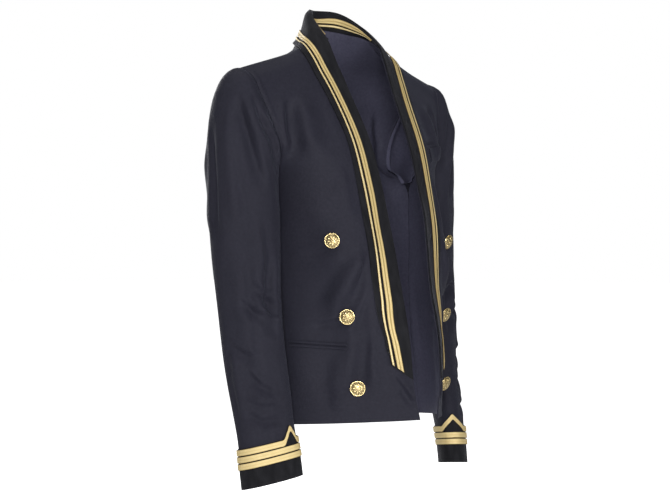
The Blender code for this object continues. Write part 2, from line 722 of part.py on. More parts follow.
def front_across(front, down, distance):
    """Share across the front at a distance from its opening edge, measured along the cloth."""
    across = np.linspace(0.0, 0.7, 60)
    path = front.at(across, np.full_like(across, down))
    length = np.concatenate([[0], np.cumsum(np.linalg.norm(np.diff(path, axis=0), axis=1))])
    return np.interp(distance, length, across)


def lapel_row(front, share):
    """Underside of the lapel at a share of its way from the collar down to its foot."""
    top = LAPEL_TABLE[0].height
    inner = top + (LAPEL_FOOT_INNER - top) * share
    outer = top + (LAPEL_FOOT_OUTER - top) * share
    width, margin = through(
        [-row.height for row in LAPEL_TABLE],
        [(row.width, row.margin) for row in LAPEL_TABLE], -inner,
    )[0]
    leaf = leaf_shares(width, margin)
    down = front_down(inner + (outer - inner) * leaf)
    across = np.array([front_across(front, d, width * s) for d, s in zip(down, leaf)])
    return front.at(across, down, LIE_GAP)


def neck_row(roll, edge):
    """Underside of the leaf beside the neck, from the roll over and down to its edge."""
    roll, edge = np.array(roll), np.array(edge)
    profile = np.array(LEAF_PROFILE)
    knots = knots_of(profile * [np.linalg.norm((edge - roll)[:2]), abs(edge[2] - roll[2])])
    fine = through(knots, profile, np.linspace(0, 1, 60))
    path = roll + np.concatenate(
        [fine[:, :1] * (edge - roll)[:2], fine[:, 1:] * (edge - roll)[2]], axis=1
    )
    length = np.concatenate([[0], np.cumsum(np.linalg.norm(np.diff(path, axis=0), axis=1))])
    at = leaf_shares(length[-1], NECK_MARGIN) * length[-1]
    return np.stack([np.interp(at, length, path[:, axis]) for axis in range(3)], axis=1)


def shawl_underside(front):
    """Rows from centre back round the neck and down the lapel."""
    lapel_rows = SHAWL_ROWS - NECK_ROWS
    lapel_shares = np.append(np.linspace(0.0, LACE_END, lapel_rows - 1), 1.0)
    lapel = [lapel_row(front, share) for share in lapel_shares]
    keys = [neck_row(roll, edge) for roll, edge in zip(ROLL_LINE, LEAF_EDGE)] + lapel[:3]
    keys = [keys[1] * MIRROR] + keys
    knots = knots_of([key[len(key) // 2] for key in keys])
    start = np.array([SEAM_GAP / 2, 0.0, 0.0])
    shares = np.linspace(knots[1], knots[-3], NECK_ROWS + 1)[:-1]
    columns = [
        through(knots, [key[column] for key in keys], shares)
        for column in range(len(keys[0]))
    ]
    neck = list(np.stack(columns, axis=1))
    neck[0] = neck[0] * np.array([0.0, 1.0, 1.0]) + start
    return np.array(neck + lapel)


def add_shawl(velvet, lace):
    for side in ("left", "right"):
        under = shawl_underside(FRONTS[side])
        out = grid_normals(under)
        if out[-1, 0, 1] > 0:
            out = -out
        over = under + out * VELVET
        add_wall(f"shawl_{side}", over, under, velvet, side)
        columns = under.shape[1] - 1
        for name, (first, last) in {"narrow": NARROW_COLUMNS, "wide": WIDE_COLUMNS}.items():
            pick = slice(columns - last, columns - first + 1)
            low = over[:-1, pick] + out[:-1, pick] * LIE_GAP
            high = low + out[:-1, pick] * LACE
            add_wall(f"lace_{name}_{side}", high, low, lace, side)


def add_neck_band(velvet, lace):
    """The band inside the back of the neck, with its own lace near its foot."""
    shares = np.linspace(0.0, 1.0, NECK_BAND_ROWS + 1)
    roll, foot = np.array(ROLL_LINE), np.array(NECK_BAND_FOOT)
    lines = [roll + (foot - roll) * np.array(down)[:, None] for down in zip(*NECK_BAND_LINES)]
    half = np.stack([round_neck(line, shares) for line in lines], axis=1)
    grid = np.concatenate([half[:0:-1] * MIRROR, half])
    inward = grid_normals(grid)
    if inward[len(inward) // 2, 0, 1] > 0:
        inward = -inward
    back = grid + inward * LIE_GAP
    face = back + inward * VELVET
    add_wall("neck_band", face, back, velvet)
    for name, (first, last) in NECK_BAND_LACE.items():
        pick = slice(first, last + 1)
        low = face[1:-1, pick] + inward[1:-1, pick] * SEAM_GAP
        add_wall(f"neck_lace_{name}", low + inward[1:-1, pick] * LACE, low, lace)


# ---- Pockets and buttons ----


def front_place(front, x, z):
    """Shares across and down the front at a distance from the middle and a height."""
    x, z = np.atleast_1d(np.asarray(x, float)), np.atleast_1d(np.asarray(z, float))
    place = np.stack([np.full_like(x, 0.5), np.full_like(x, 0.6)])
    step = 1e-3
    for _ in range(12):
        here = front.at(*place)[:, ::2]
        aside = (front.at(place[0] + step, place[1])[:, ::2] - here) / step
        below = (front.at(place[0], place[1] + step)[:, ::2] - here) / step
        miss = np.stack([x, z], axis=1) - here
        area = aside[:, 0] * below[:, 1] - aside[:, 1] * below[:, 0]
        place[0] += (miss[:, 0] * below[:, 1] - miss[:, 1] * below[:, 0]) / area
        place[1] += (aside[:, 0] * miss[:, 1] - aside[:, 1] * miss[:, 0]) / area
        place = np.clip(place, 0.02, 0.98)
    return place


def front_down_beside(front, across, height):
    """Share down the front at which the cloth at these places across has this height."""
    down = np.full_like(across, 0.5)
    step = 1e-3
    for _ in range(12):
        here = front.at(across, down)[..., 2]
        slope = (front.at(across, down + step)[..., 2] - here) / step
        down = np.clip(down + (height - here) / slope, 0.02, 0.98)
    return down


def add_strip(name, ends, low, high, heights, material, side, count):
    """A strip lying on the front between two places, from one distance to another above
    the line between them, with the height of each of its lines above the cloth."""
    share = np.linspace(0.0, 1.0, count)[:, None]
    line = np.array(ends[0]) + (np.array(ends[1]) - np.array(ends[0])) * share
    across = np.repeat(line[:, :1], len(heights), axis=1)
    height = line[:, 1:] + np.linspace(high, low, len(heights))
    down = front_down_beside(FRONTS[side], across, height)
    under = FRONTS[side].at(across, down, LIE_GAP)
    over = FRONTS[side].at(across, down, LIE_GAP + np.array(heights))
    add_wall(name, over, under, material, side)


def add_pockets(wool):
    outer = SEAM_GAP + JET_WIDTH
    for side in ("left", "right"):
        add_strip(
            f"jet_upper_{side}", HIP_POCKET, SEAM_GAP, outer, JET_HEIGHTS, wool, side, JET_COLUMNS
        )
        add_strip(
            f"jet_lower_{side}", HIP_POCKET, -outer, -SEAM_GAP, JET_HEIGHTS, wool, side,
            JET_COLUMNS,
        )
    add_strip(
        "chest_welt", CHEST_POCKET, -WELT_WIDTH, 0.0, WELT_HEIGHTS, wool, "left", WELT_COLUMNS
    )


def button_outline():
    """Half outline from the foot of the shank out round the rim and over the dome."""
    outline = [(0.0, SHANK_FOOT), (SHANK_RADIUS, SHANK_FOOT), (SHANK_RADIUS, PLATE_HEIGHT)]
    outline += [(PLATE_RADIUS, PLATE_HEIGHT), (BUTTON_RADIUS, RIM_HEIGHT)]
    for ring in range(1, DOME_RINGS):
        angle = math.pi / 2 * ring / DOME_RINGS
        outline.append((DOME_RADIUS * math.cos(angle), DOME_FOOT + DOME_RISE * math.sin(angle)))
    outline.append((0.0, DOME_FOOT + DOME_RISE))
    return outline


def turned_faces(rings):
    """Faces of a turned body: a point, its rings one after another, and a closing point."""
    faces = []
    last = 1 + (rings - 1) * BUTTON_SEGMENTS
    for step in range(BUTTON_SEGMENTS):
        after = (step + 1) % BUTTON_SEGMENTS
        faces.append((0, 1 + after, 1 + step))
        faces.append((last + step, last + after, last + BUTTON_SEGMENTS))
        for ring in range(rings - 1):
            low = 1 + ring * BUTTON_SEGMENTS
            high = low + BUTTON_SEGMENTS
            faces.append((low + step, low + after, high + after, high + step))
    return faces


def add_buttons(gilt):
    outline = button_outline()
    faces = turned_faces(len(outline) - 2)
    for (place, (x, z)), side in itertools.product(BUTTONS.items(), ("left", "right")):
        front = FRONTS[side]
        across, down = front_place(front, x, z)
        axis = front.normal(across, down)[0]
        centre = front.at(across, down, LIE_GAP)[0] + axis * BUTTON_LOOSE[side]
        axis = unit(axis + np.array(BUTTON_TILT[side]))
        level = unit(np.cross(np.array([0.0, 0.0, 1.0]), axis))
        upright = np.cross(axis, level)
        points = []
        for radius, height in outline:
            for step in range(BUTTON_SEGMENTS if radius > 0 else 1):
                angle = 2 * math.pi * step / BUTTON_SEGMENTS
                spoke = radius * (math.cos(angle) * level + math.sin(angle) * upright)
                points.append(centre + axis * height + spoke)
        mirror = MIRROR if side == "right" else 1.0
        add_piece(f"button_{place}_{side}", np.array(points) * mirror, faces, gilt)


def main():
    for thing in list(bpy.data.objects):
        bpy.data.objects.remove(thing)
    wool = finish("navy_wool", NAVY, 0.9)
    velvet = finish("black_velvet", BLACK, 0.95)
    lace = finish("gold_lace", GOLD_THREAD, 0.42, 0.6)
    gilt = finish("gilt_brass", GILT, 0.3, 1.0)
    add_fronts(wool)
    add_back(wool)
    add_sleeves(wool)
    add_cuffs(velvet, lace)
    add_shawl(velvet, lace)
    add_neck_band(velvet, lace)
    add_pockets(wool)
    add_buttons(gilt)


main()
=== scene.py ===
# %% [markdown]
# # A double-breasted mess jacket
#
# The jacket is a short, hollow coat of navy wool with a velvet shawl collar, gold lace and gilt
# buttons. Its solids were drawn first and give every size. Here each plain solid gets the cloth,
# the creases and the finish that the eye expects, and stays exactly where its solid is.

# %% Load the solids
import json
import math

import bpy
import numpy as np
from mathutils import Matrix, Vector, kdtree, noise

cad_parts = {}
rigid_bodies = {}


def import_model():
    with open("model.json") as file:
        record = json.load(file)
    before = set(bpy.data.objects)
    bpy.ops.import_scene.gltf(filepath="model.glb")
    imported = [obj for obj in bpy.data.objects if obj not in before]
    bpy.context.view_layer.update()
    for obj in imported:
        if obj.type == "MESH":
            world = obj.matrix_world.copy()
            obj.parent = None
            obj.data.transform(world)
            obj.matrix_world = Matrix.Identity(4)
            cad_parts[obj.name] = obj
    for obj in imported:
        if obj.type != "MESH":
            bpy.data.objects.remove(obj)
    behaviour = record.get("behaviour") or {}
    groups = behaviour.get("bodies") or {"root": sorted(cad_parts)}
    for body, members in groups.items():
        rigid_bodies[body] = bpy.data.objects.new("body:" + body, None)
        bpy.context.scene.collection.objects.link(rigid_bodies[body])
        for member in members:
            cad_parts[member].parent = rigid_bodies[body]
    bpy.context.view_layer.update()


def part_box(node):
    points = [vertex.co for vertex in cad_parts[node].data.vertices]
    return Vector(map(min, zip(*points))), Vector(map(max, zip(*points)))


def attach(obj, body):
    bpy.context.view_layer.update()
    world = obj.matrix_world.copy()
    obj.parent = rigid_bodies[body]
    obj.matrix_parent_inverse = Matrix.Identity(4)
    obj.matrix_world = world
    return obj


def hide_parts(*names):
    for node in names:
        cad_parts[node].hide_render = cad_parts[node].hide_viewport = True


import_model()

# %% [markdown]
# ## The camera
#
# The photograph was taken at the height of the coat's middle, a little over three metres away and
# well round to the wearer's right. A camera is placed by an angle round the coat and a distance,
# which is easier to reason about than three coordinates. The small shift in pixels stands for
# the crop of the picture.

# %% Place the camera
CAMERA_AZIMUTH = math.radians(-46.0)
CAMERA_DISTANCE = 3.11
CAMERA_HEIGHT = -0.310
FOCAL_PIXELS = 2067.0
IMAGE_WIDTH = 670
CROP_ASIDE, CROP_UP = -3.0, 2.0

camera_data = bpy.data.cameras.new("camera")
camera_data.lens = FOCAL_PIXELS / IMAGE_WIDTH * camera_data.sensor_width
camera_data.shift_x = CROP_ASIDE / IMAGE_WIDTH
camera_data.shift_y = CROP_UP / IMAGE_WIDTH
camera = bpy.data.objects.new("camera", camera_data)
bpy.context.scene.collection.objects.link(camera)
camera.location = (
    CAMERA_DISTANCE * math.sin(CAMERA_AZIMUTH),
    -CAMERA_DISTANCE * math.cos(CAMERA_AZIMUTH),
    CAMERA_HEIGHT,
)
camera.rotation_euler = (math.radians(90.0), 0.0, CAMERA_AZIMUTH)
camera_data.clip_end = 50.0
bpy.context.scene.camera = camera
print("camera lens", round(camera_data.lens, 1), "mm at", tuple(round(c, 3) for c in camera.location))

# %% [markdown]
# ## The studio
#
# A dark coat needs broad, soft light. The main lamp stands close beside the camera, so whatever
# the camera sees is lit, the inside of the open coat too. A second one straight in front draws
# the folds, a lamp overhead gives the pale shoulder, and two behind show the back and the
# sleeve. The floor is a plain pale sheet, wide enough that its far edge is lost. The camera sees
# it pure white, while as a light it is held back, or it would wash out the folds from below.

# %% Floor and air
FLOOR_HEIGHT = -0.90
FLOOR_SEEN, FLOOR_GLOW = 1.1, 0.12

bpy.ops.object.select_all(action="DESELECT")
bpy.ops.mesh.primitive_plane_add(size=60.0, location=(0.0, 0.0, FLOOR_HEIGHT))
floor = bpy.context.object
floor.name = "studio_floor"

paper = bpy.data.materials.new("studio_paper")
paper.use_nodes = True
paper_shader = paper.node_tree.nodes["Principled BSDF"]
paper_shader.inputs["Base Color"].default_value = (0.93, 0.93, 0.93, 1.0)
paper_shader.inputs["Roughness"].default_value = 0.9
paper_shader.inputs["Emission Color"].default_value = (1.0, 1.0, 1.0, 1.0)
paper_rays = paper.node_tree.nodes.new("ShaderNodeLightPath")
paper_glow = paper.node_tree.nodes.new("ShaderNodeMath")
paper_glow.operation = "MULTIPLY_ADD"
paper_glow.inputs[1].default_value = FLOOR_SEEN - FLOOR_GLOW
paper_glow.inputs[2].default_value = FLOOR_GLOW
paper.node_tree.links.new(paper_rays.outputs["Is Camera Ray"], paper_glow.inputs[0])
paper.node_tree.links.new(paper_glow.outputs[0], paper_shader.inputs["Emission Strength"])
floor.data.materials.append(paper)

AIR_LIGHT = 0.14
world = bpy.data.worlds.new("studio_air")
world.use_nodes = True
air = world.node_tree
seen_air = air.nodes["Background"]
seen_air.inputs["Color"].default_value = (1.0, 1.0, 1.0, 1.0)
seen_air.inputs["Strength"].default_value = 1.0
soft_air = air.nodes.new("ShaderNodeBackground")
soft_air.inputs["Color"].default_value = (0.95, 0.97, 1.0, 1.0)
soft_air.inputs["Strength"].default_value = AIR_LIGHT
either = air.nodes.new("ShaderNodeMixShader")
rays = air.nodes.new("ShaderNodeLightPath")
air.links.new(rays.outputs["Is Camera Ray"], either.inputs[0])
air.links.new(soft_air.outputs[0], either.inputs[1])
air.links.new(seen_air.outputs[0], either.inputs[2])
air.links.new(either.outputs[0], air.nodes["World Output"].inputs["Surface"])
bpy.context.scene.world = world
bpy.context.scene.view_settings.view_transform = "Standard"
print("floor at", FLOOR_HEIGHT)

# %% Soft lamps


def add_lamp(name, place, aim, size, power):
    """A square soft lamp at a place, turned to face what it lights."""
    data = bpy.data.lights.new(name, "AREA")
    data.size = size
    data.energy = power
    lamp = bpy.data.objects.new(name, data)
    lamp.location = place
    lamp.rotation_euler = (Vector(aim) - Vector(place)).to_track_quat("-Z", "Y").to_euler()
    bpy.context.scene.collection.objects.link(lamp)
    return lamp


add_lamp("lamp_key", (-2.35, -2.25, 0.15), (0.0, 0.0, -0.3), 1.0, 74.0)
add_lamp("lamp_front", (-0.5, -3.0, -0.1), (0.05, 0.0, -0.3), 1.0, 34.0)
add_lamp("lamp_top", (-0.5, 0.3, 2.0), (0.0, 0.0, -0.1), 1.3, 29.0)
add_lamp("lamp_sleeve_side", (-2.5, 1.1, 0.7), (0.0, 0.0, -0.2), 1.2, 5.0)
add_lamp("lamp_back", (0.9, 3.2, 0.7), (0.0, 0.0, -0.3), 1.4, 46.0)

# %% [markdown]
# ## From a solid back to a cloth grid
#
# Every cloth solid was drawn as a net of rows and columns with a thin wall. To drape finer cloth
# on it, its outer side is read back as that net. The solid arrives as loose triangles, so a copy
# is merged first. The wall's thin side is dropped, two sheets stay, and the one that faces away
# from the wearer is walked row by row. Walking is surer than guessing which triangles pair up.

# %% Merge a copy and split its two sides


def select_only(piece):
    bpy.ops.object.select_all(action="DESELECT")
    piece.select_set(True)
    bpy.context.view_layer.objects.active = piece


def merged_copy(node):
    """Points and triangles of a merged copy of a solid."""
    copy = bpy.data.objects.new(node + "_copy", bpy.data.objects[node].data.copy())
    bpy.context.scene.collection.objects.link(copy)
    select_only(copy)
    bpy.ops.object.mode_set(mode="EDIT")
    bpy.ops.mesh.select_all(action="SELECT")
    bpy.ops.mesh.remove_doubles(threshold=2e-5)
    bpy.ops.object.mode_set(mode="OBJECT")
    mesh = copy.data
    points = np.array([vertex.co[:] for vertex in mesh.vertices])
    triangles = [tuple(polygon.vertices) for polygon in mesh.polygons]
    bpy.data.objects.remove(copy)
    bpy.data.meshes.remove(mesh)
    return points, triangles


def sides_of(points, triangles, wall):
    """The separate sheets that are left when the thin side of the wall is dropped."""
    def crosses_wall(triangle):
        a, b, c = (points[corner] for corner in triangle)
        lengths = [np.linalg.norm(a - b), np.linalg.norm(b - c), np.linalg.norm(c - a)]
        return any(wall[0] <= length <= wall[1] for length in lengths)

    broad = [triangle for triangle in triangles if not crosses_wall(triangle)]
    at_edge = {}
    for number, (a, b, c) in enumerate(broad):
        for edge in ((a, b), (b, c), (c, a)):
            at_edge.setdefault(frozenset(edge), []).append(number)
    sheets, seen = [], set()
    for first in range(len(broad)):
        if first in seen:
            continue
        seen.add(first)
        sheet, waiting = [], [first]
        while waiting:
            number = waiting.pop()
            sheet.append(broad[number])
            a, b, c = broad[number]
            for edge in ((a, b), (b, c), (c, a)):
                for other in at_edge[frozenset(edge)]:
                    if other not in seen:
                        seen.add(other)
                        waiting.append(other)
        sheets.append(sheet)
    return sheets


# %% Walk one side row by row


def edge_table(sheet):
    """Triangles beside each edge of a sheet."""
    beside = {}
    for triangle in sheet:
        for turn in range(3):
            edge = frozenset((triangle[turn], triangle[(turn + 1) % 3]))
            beside.setdefault(edge, []).append(triangle)
    return beside


def rims_of(beside):
    """Neighbours along the open rim for each point on it."""
    rim = {}
    for edge, triangles in beside.items():
        if len(triangles) == 1:
            a, b = tuple(edge)
            rim.setdefault(a, []).append(b)
            rim.setdefault(b, []).append(a)
    return rim


def walk_row(points, top, first, beside, used, closed):
    """The row of points below a known row, whose first point is known."""
    row = [first]
    for left, right in zip(top, top[1:] + (top[:1] if closed else [])):
        fresh = [t for t in beside.get(frozenset((left, row[-1])), []) if t not in used]
        if closed and len(row) == 1:
            ahead = points[right] - points[left]
            fresh = sorted(fresh, key=lambda t: np.dot(points[list(t)].sum(axis=0), ahead))[-1:]
        if len(fresh) != 1:
            return None
        used.add(fresh[0])
        third = next(p for p in fresh[0] if p not in (left, row[-1]))
        if third == right:
            fresh = [t for t in beside.get(frozenset((row[-1], right)), []) if t not in used]
            if len(fresh) != 1:
                return None
            used.add(fresh[0])
            third = next(p for p in fresh[0] if p not in (row[-1], right))
        else:
            fresh = [t for t in beside.get(frozenset((left, third)), []) if t not in used]
            if len(fresh) != 1 or right not in fresh[0]:
                return None
            used.add(fresh[0])
        row.append(third)
    return row


def corner_points(points, rim):
    """The four points where an open sheet's rim turns from one side to the next."""
    turns = []
    for point, (before, after) in rim.items():
        inward = points[before] - points[point], points[after] - points[point]
        cosine = np.dot(*inward) / np.linalg.norm(inward[0]) / np.linalg.norm(inward[1])
        turns.append((cosine, point))
    return [point for _, point in sorted(turns, reverse=True)[:4]]


def walk_open(points, sheet):
    """Rows of point numbers of an open sheet, from one corner to the opposite one."""
    beside = edge_table(sheet)
    rim = rims_of(beside)
    corners = corner_points(points, rim)
    start = corners[0]
    for direction in (0, 1):
        row = [start, rim[start][direction]]
        while row[-1] not in corners:
            row.append(next(p for p in rim[row[-1]] if p != row[-2]))
        rows, used = [row], set()
        side, before = rim[start][1 - direction], start
        while True:
            below = walk_row(points, rows[-1], side, beside, used, closed=False)
            if below is None:
                break
            rows.append(below)
            if side in corners:
                return rows
            side, before = next(p for p in rim[side] if p != before), side
    return None


def walk_closed(points, sheet):
    """Rows of point numbers of a tube, each row going once round it."""
    beside = edge_table(sheet)
    rim = rims_of(beside)
    start = max(rim, key=lambda p: points[p][2])
    row = [start, rim[start][0]]
    while True:
        after = next(p for p in rim[row[-1]] if p != row[-2])
        if after == start:
            break
        row.append(after)
    rows, used = [row], set()
    while True:
        top = rows[-1]
        ways = [
            next(iter(set(edge) - {top[0]})) for edge in beside
            if top[0] in edge and len(beside[edge]) == 2 and not used.intersection(beside[edge])
        ]
        for side in sorted(ways):
            tried = set(used)
            below = walk_row(points, top, side, beside, tried, closed=True)
            if below is not None and below[0] == below[-1]:
                rows.append(below[:-1])
                used = tried
                break
        else:
            return rows if len(rows) > 1 else None


# %% Read a solid's outer net
BODY_AXIS = np.array([0.0, -0.03, -0.30])
MIRROR = np.array([-1.0, 1.0, 1.0])


def wall_of(thickness):
    """Shortest and longest edge that counts as crossing a wall."""
    return 0.99 * thickness, 1.01 * thickness


def sided(place, side):
    return np.array(place) * (MIRROR if side == "right" else 1.0)


def faces_away(points, sheet, centre):
    """How much a sheet faces away from a point, summed over its triangles."""
    corners = points[np.array(sheet)]
    spread = np.cross(corners[:, 1] - corners[:, 0], corners[:, 2] - corners[:, 0])
    return np.sum(spread * (corners.mean(axis=1) - centre))


def node_middle(node):
    low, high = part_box(node)
    return (np.array(low) + np.array(high)) / 2


def net_of(node, wall, centre, closed=False, inward=False):
    """The outer net of a cloth solid, as rows by columns of places in metres."""
    points, triangles = merged_copy(node)
    sheets = sorted(sides_of(points, triangles, wall), key=len)[-2:]
    sign = -1 if inward else 1
    sheet = max(sheets, key=lambda s: sign * faces_away(points, s, centre))
    rows = walk_closed(points, sheet) if closed else walk_open(points, sheet)
    if rows is None:
        raise ValueError(node + " could not be walked as a net")
    return points[np.array(rows)]


# %% Lay a net the same way up each time


def laid(net, first, across):
    """The net turned so that its first row runs from one place towards another."""
    ways = []
    for turned in (net, net.transpose(1, 0, 2)):
        for up in (1, -1):
            for over in (1, -1):
                way = turned[::up, ::over]
                miss = np.linalg.norm(way[0, 0] - first) + np.linalg.norm(way[0, -1] - across)
                ways.append((miss, len(ways), way))
    return min(ways)[2].copy()


def laid_round(net, middle):
    """A tube's net with its upper row first, going the same way round."""
    if net[0, :, 2].mean() < net[-1, :, 2].mean():
        net = net[::-1]
    top = net[0] - middle
    area = np.sum(top[:, 0] * np.roll(top[:, 1], -1) - top[:, 1] * np.roll(top[:, 0], -1))
    return net if area > 0 else net[:, ::-1]


# %% [markdown]
# ## Finer cloth through the same places
#
# A net has a place every few centimetres. A smooth curve through its places in both directions
# gives a net of two-millimetre cells that still touches every place of the solid, which a
# subdivision surface would shrink away from. The creases are then pressed into this fine net,
# and a Solidify modifier gives it the cloth's thickness towards the wearer.

# %% A smooth curve through the rows of a net


def unit(vectors):
    return vectors / np.maximum(np.linalg.norm(vectors, axis=-1, keepdims=True), 1e-12)


def smooth_step(value):
    value = np.clip(value, 0.0, 1.0)
    return value * value * (3.0 - 2.0 * value)


def curve_rows(knots, rows, at):
    """Rows read between the given ones, on a smooth curve that passes through each."""
    slopes = np.gradient(rows, knots, axis=0, edge_order=2 if len(rows) > 2 else 1)
    cell = np.clip(np.searchsorted(knots, at, side="right") - 1, 0, len(knots) - 2)
    step = (knots[cell + 1] - knots[cell])[:, None, None]
    share = (at - knots[cell])[:, None, None] / step
    square, cube = share**2, share**3
    return (
        (2 * cube - 3 * square + 1) * rows[cell] + (cube - 2 * square + share) * slopes[cell] * step
        + (3 * square - 2 * cube) * rows[cell + 1] + (cube - square) * slopes[cell + 1] * step
    )


def finer_rows(net, cell):
    """The net with rows about a cell apart."""
    steps = np.linalg.norm(np.diff(net, axis=0), axis=2).mean(axis=1)
    knots = np.concatenate([[0.0], np.cumsum(steps)])
    count = max(2, int(round(knots[-1] / cell)))
    return curve_rows(knots, net, np.linspace(0.0, knots[-1], count + 1))


def finer(net, row_cell, column_cell):
    rows = finer_rows(net, row_cell)
    return finer_rows(rows.transpose(1, 0, 2), column_cell).transpose(1, 0, 2)


def finer_round(net, row_cell, column_cell):
    """The same for a tube, whose rows close on themselves."""
    wrapped = np.concatenate([net[:, -3:], net, net[:, :4]], axis=1)
    rows = finer_rows(wrapped, row_cell)
    columns = rows.transpose(1, 0, 2)
    steps = np.linalg.norm(np.diff(columns, axis=0), axis=2).mean(axis=1)
    knots = np.concatenate([[0.0], np.cumsum(steps)])
    first, last = knots[3], knots[3 + net.shape[1]]
    count = int(round((last - first) / column_cell))
    at = np.linspace(first, last, count, endpoint=False)
    return curve_rows(knots, columns, at).transpose(1, 0, 2)


def out_of(grid, centre, inward=False, closed=False):
    """Unit directions out of a fine net."""
    down = np.gradient(grid, axis=0)
    if closed:
        over = (np.roll(grid, -1, axis=1) - np.roll(grid, 1, axis=1)) / 2
    else:
        over = np.gradient(grid, axis=1)
    out = unit(np.cross(over, down))
    side = np.sum(out * (grid - centre))
    return out if (side > 0) != inward else -out


# %% Make a piece of cloth from a fine net


def lengths_along(grid, axis):
    steps = np.linalg.norm(np.diff(grid, axis=axis), axis=2)
    start = np.zeros_like(np.take(steps, [0], axis=axis))
    return np.cumsum(np.concatenate([start, steps], axis=axis), axis=axis)


def cut_of(grid, closed=False):
    """Flat width, length and area of a piece, measured along its cloth."""
    if closed:
        grid = np.concatenate([grid, grid[:, :1]], axis=1)
    over = grid[1:, 1:] - grid[:-1, :-1]
    aside = grid[1:, :-1] - grid[:-1, 1:]
    area = np.linalg.norm(np.cross(over, aside), axis=2).sum() / 2
    return lengths_along(grid, 1).max(), lengths_along(grid, 0).max(), area


def quads_of(rows, columns, closed):
    row = np.arange(rows - 1)[:, None]
    column = np.arange(columns if closed else columns - 1)[None, :]
    after = (column + 1) % columns
    a, b = row * columns + column, row * columns + after
    return np.stack([a, b, b + columns, a + columns], axis=-1).reshape(-1, 4)


def apply_modifier(piece, kind, **settings):
    select_only(piece)
    modifier = piece.modifiers.new(kind.lower(), kind)
    for setting, value in settings.items():
        setattr(modifier, setting, value)
    bpy.ops.object.modifier_apply(modifier=modifier.name)


def thread_places(mesh, grid, columns, closed):
    """Place of each face corner along and across the threads, in metres."""
    ring = np.concatenate([grid, grid[:, :1]], axis=1) if closed else grid
    across, down = lengths_along(ring, 1), lengths_along(grid, 0)
    corners = np.empty(len(mesh.loops), dtype=int)
    mesh.loops.foreach_get("vertex_index", corners)
    places = np.stack([across[:, :columns].reshape(-1)[corners], -down.reshape(-1)[corners]], axis=1)
    if closed:
        column = (corners % columns).reshape(-1, 4)
        wraps = (column == 0) & (column == columns - 1).any(axis=1)[:, None]
        places[:, 0] = np.where(wraps.reshape(-1), across[:, -1][corners // columns], places[:, 0])
    return places


def mark_raised(mesh, values):
    mark = mesh.attributes.new("raised", "FLOAT", "POINT")
    mark.data.foreach_set("value", np.ascontiguousarray(values, np.float32).reshape(-1))


def cloth_piece(
    name, grid, out, thickness, material, closed=False, rim=0.3, raised=None, lining=None,
):
    """A walled piece of cloth, with its thread directions kept in a UV map in metres."""
    rows, columns = grid.shape[:2]
    quads = quads_of(rows, columns, closed)
    a, b, c = (grid.reshape(-1, 3)[quads[:, corner]] for corner in (0, 1, 2))
    if np.sum(np.cross(b - a, c - a) * out.reshape(-1, 3)[quads[:, 0]]) < 0:
        quads = quads[:, ::-1]
    mesh = bpy.data.meshes.new(name)
    mesh.from_pydata(grid.reshape(-1, 3).tolist(), [], quads.tolist())
    layer = mesh.uv_layers.new(name="thread")
    places = thread_places(mesh, grid, columns, closed)
    layer.data.foreach_set("uv", places.reshape(-1).astype(np.float32))
    if raised is not None:
        mark_raised(mesh, raised)
    mesh.materials.append(material)
    # the inner side takes a second material: the lining, painted lighter as painted light for the
    # shaded inside
    if lining is not None:
        mesh.materials.append(lining)
    piece = bpy.data.objects.new(name, mesh)
    bpy.context.scene.collection.objects.link(piece)
    apply_modifier(
        piece, "SOLIDIFY", thickness=thickness, offset=-1.0, material_offset=int(lining is not None),
    )
    if rim > 0:
        apply_modifier(
            piece, "BEVEL", width=rim * thickness, segments=2, limit_method="ANGLE",
            angle_limit=math.radians(50.0),
        )
    select_only(piece)
    bpy.ops.object.shade_smooth()
    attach(piece, "root")
    return piece


# %% Put a piece in its solid's place
pieces, cuts = {}, {}


def dress(node, ending, grid, out, thickness, material, slot, cut=None, **settings):
    """A piece that stands for a solid; its flat size is taken from its own net, or from cut."""
    piece = cloth_piece(f"{node}_{ending}", grid, out, thickness, material, **settings)
    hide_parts(node)
    pieces[node] = piece
    cuts[node] = cut_of(grid if cut is None else cut, settings.get("closed", False))
    print(piece.name, grid.shape[:2])


# %% [markdown]
# ## Finishes
#
# Four things make this coat: smooth navy wool, black velvet, woven gold wire and gilt brass. Two
# effects are used by more than one of them, so each is a node group, made once: threads that
# cross at a slant, and a slow unevenness such as wear, dust and handling leave. Thread patterns
# read the piece's own thread map in metres, so they follow the cloth round every fold.

# %% Small helpers for node trees


def add_node(tree, kind, **settings):
    node = tree.nodes.new(kind)
    for setting, value in settings.items():
        setattr(node, setting, value)
    return node


def calculate(tree, operation, first, second=None):
    """A Math node; its inputs are sockets or numbers."""
    node = add_node(tree, "ShaderNodeMath", operation=operation)
    for slot, value in enumerate((first, second)):
        if value is None:
            continue
        if isinstance(value, (int, float)):
            node.inputs[slot].default_value = value
        else:
            tree.links.new(value, node.inputs[slot])
    return node.outputs[0]


def blend_colours(tree, mask, first, second):
    node = add_node(tree, "ShaderNodeMix", data_type="RGBA")
    for socket, value in ((node.inputs[0], mask), (node.inputs[6], first), (node.inputs[7], second)):
        if isinstance(value, tuple):
            socket.default_value = value
        elif isinstance(value, (int, float)):
            socket.default_value = value
        else:
            tree.links.new(value, socket)
    return node.outputs[2]


def new_group(name, inputs, outputs):
    group = bpy.data.node_groups.new(name, "ShaderNodeTree")
    for label, kind, value in inputs:
        socket = group.interface.new_socket(name=label, in_out="INPUT", socket_type=kind)
        if value is not None:
            socket.default_value = value
    for label in outputs:
        group.interface.new_socket(name=label, in_out="OUTPUT", socket_type="NodeSocketFloat")
    return group, group.nodes.new("NodeGroupInput"), group.nodes.new("NodeGroupOutput")


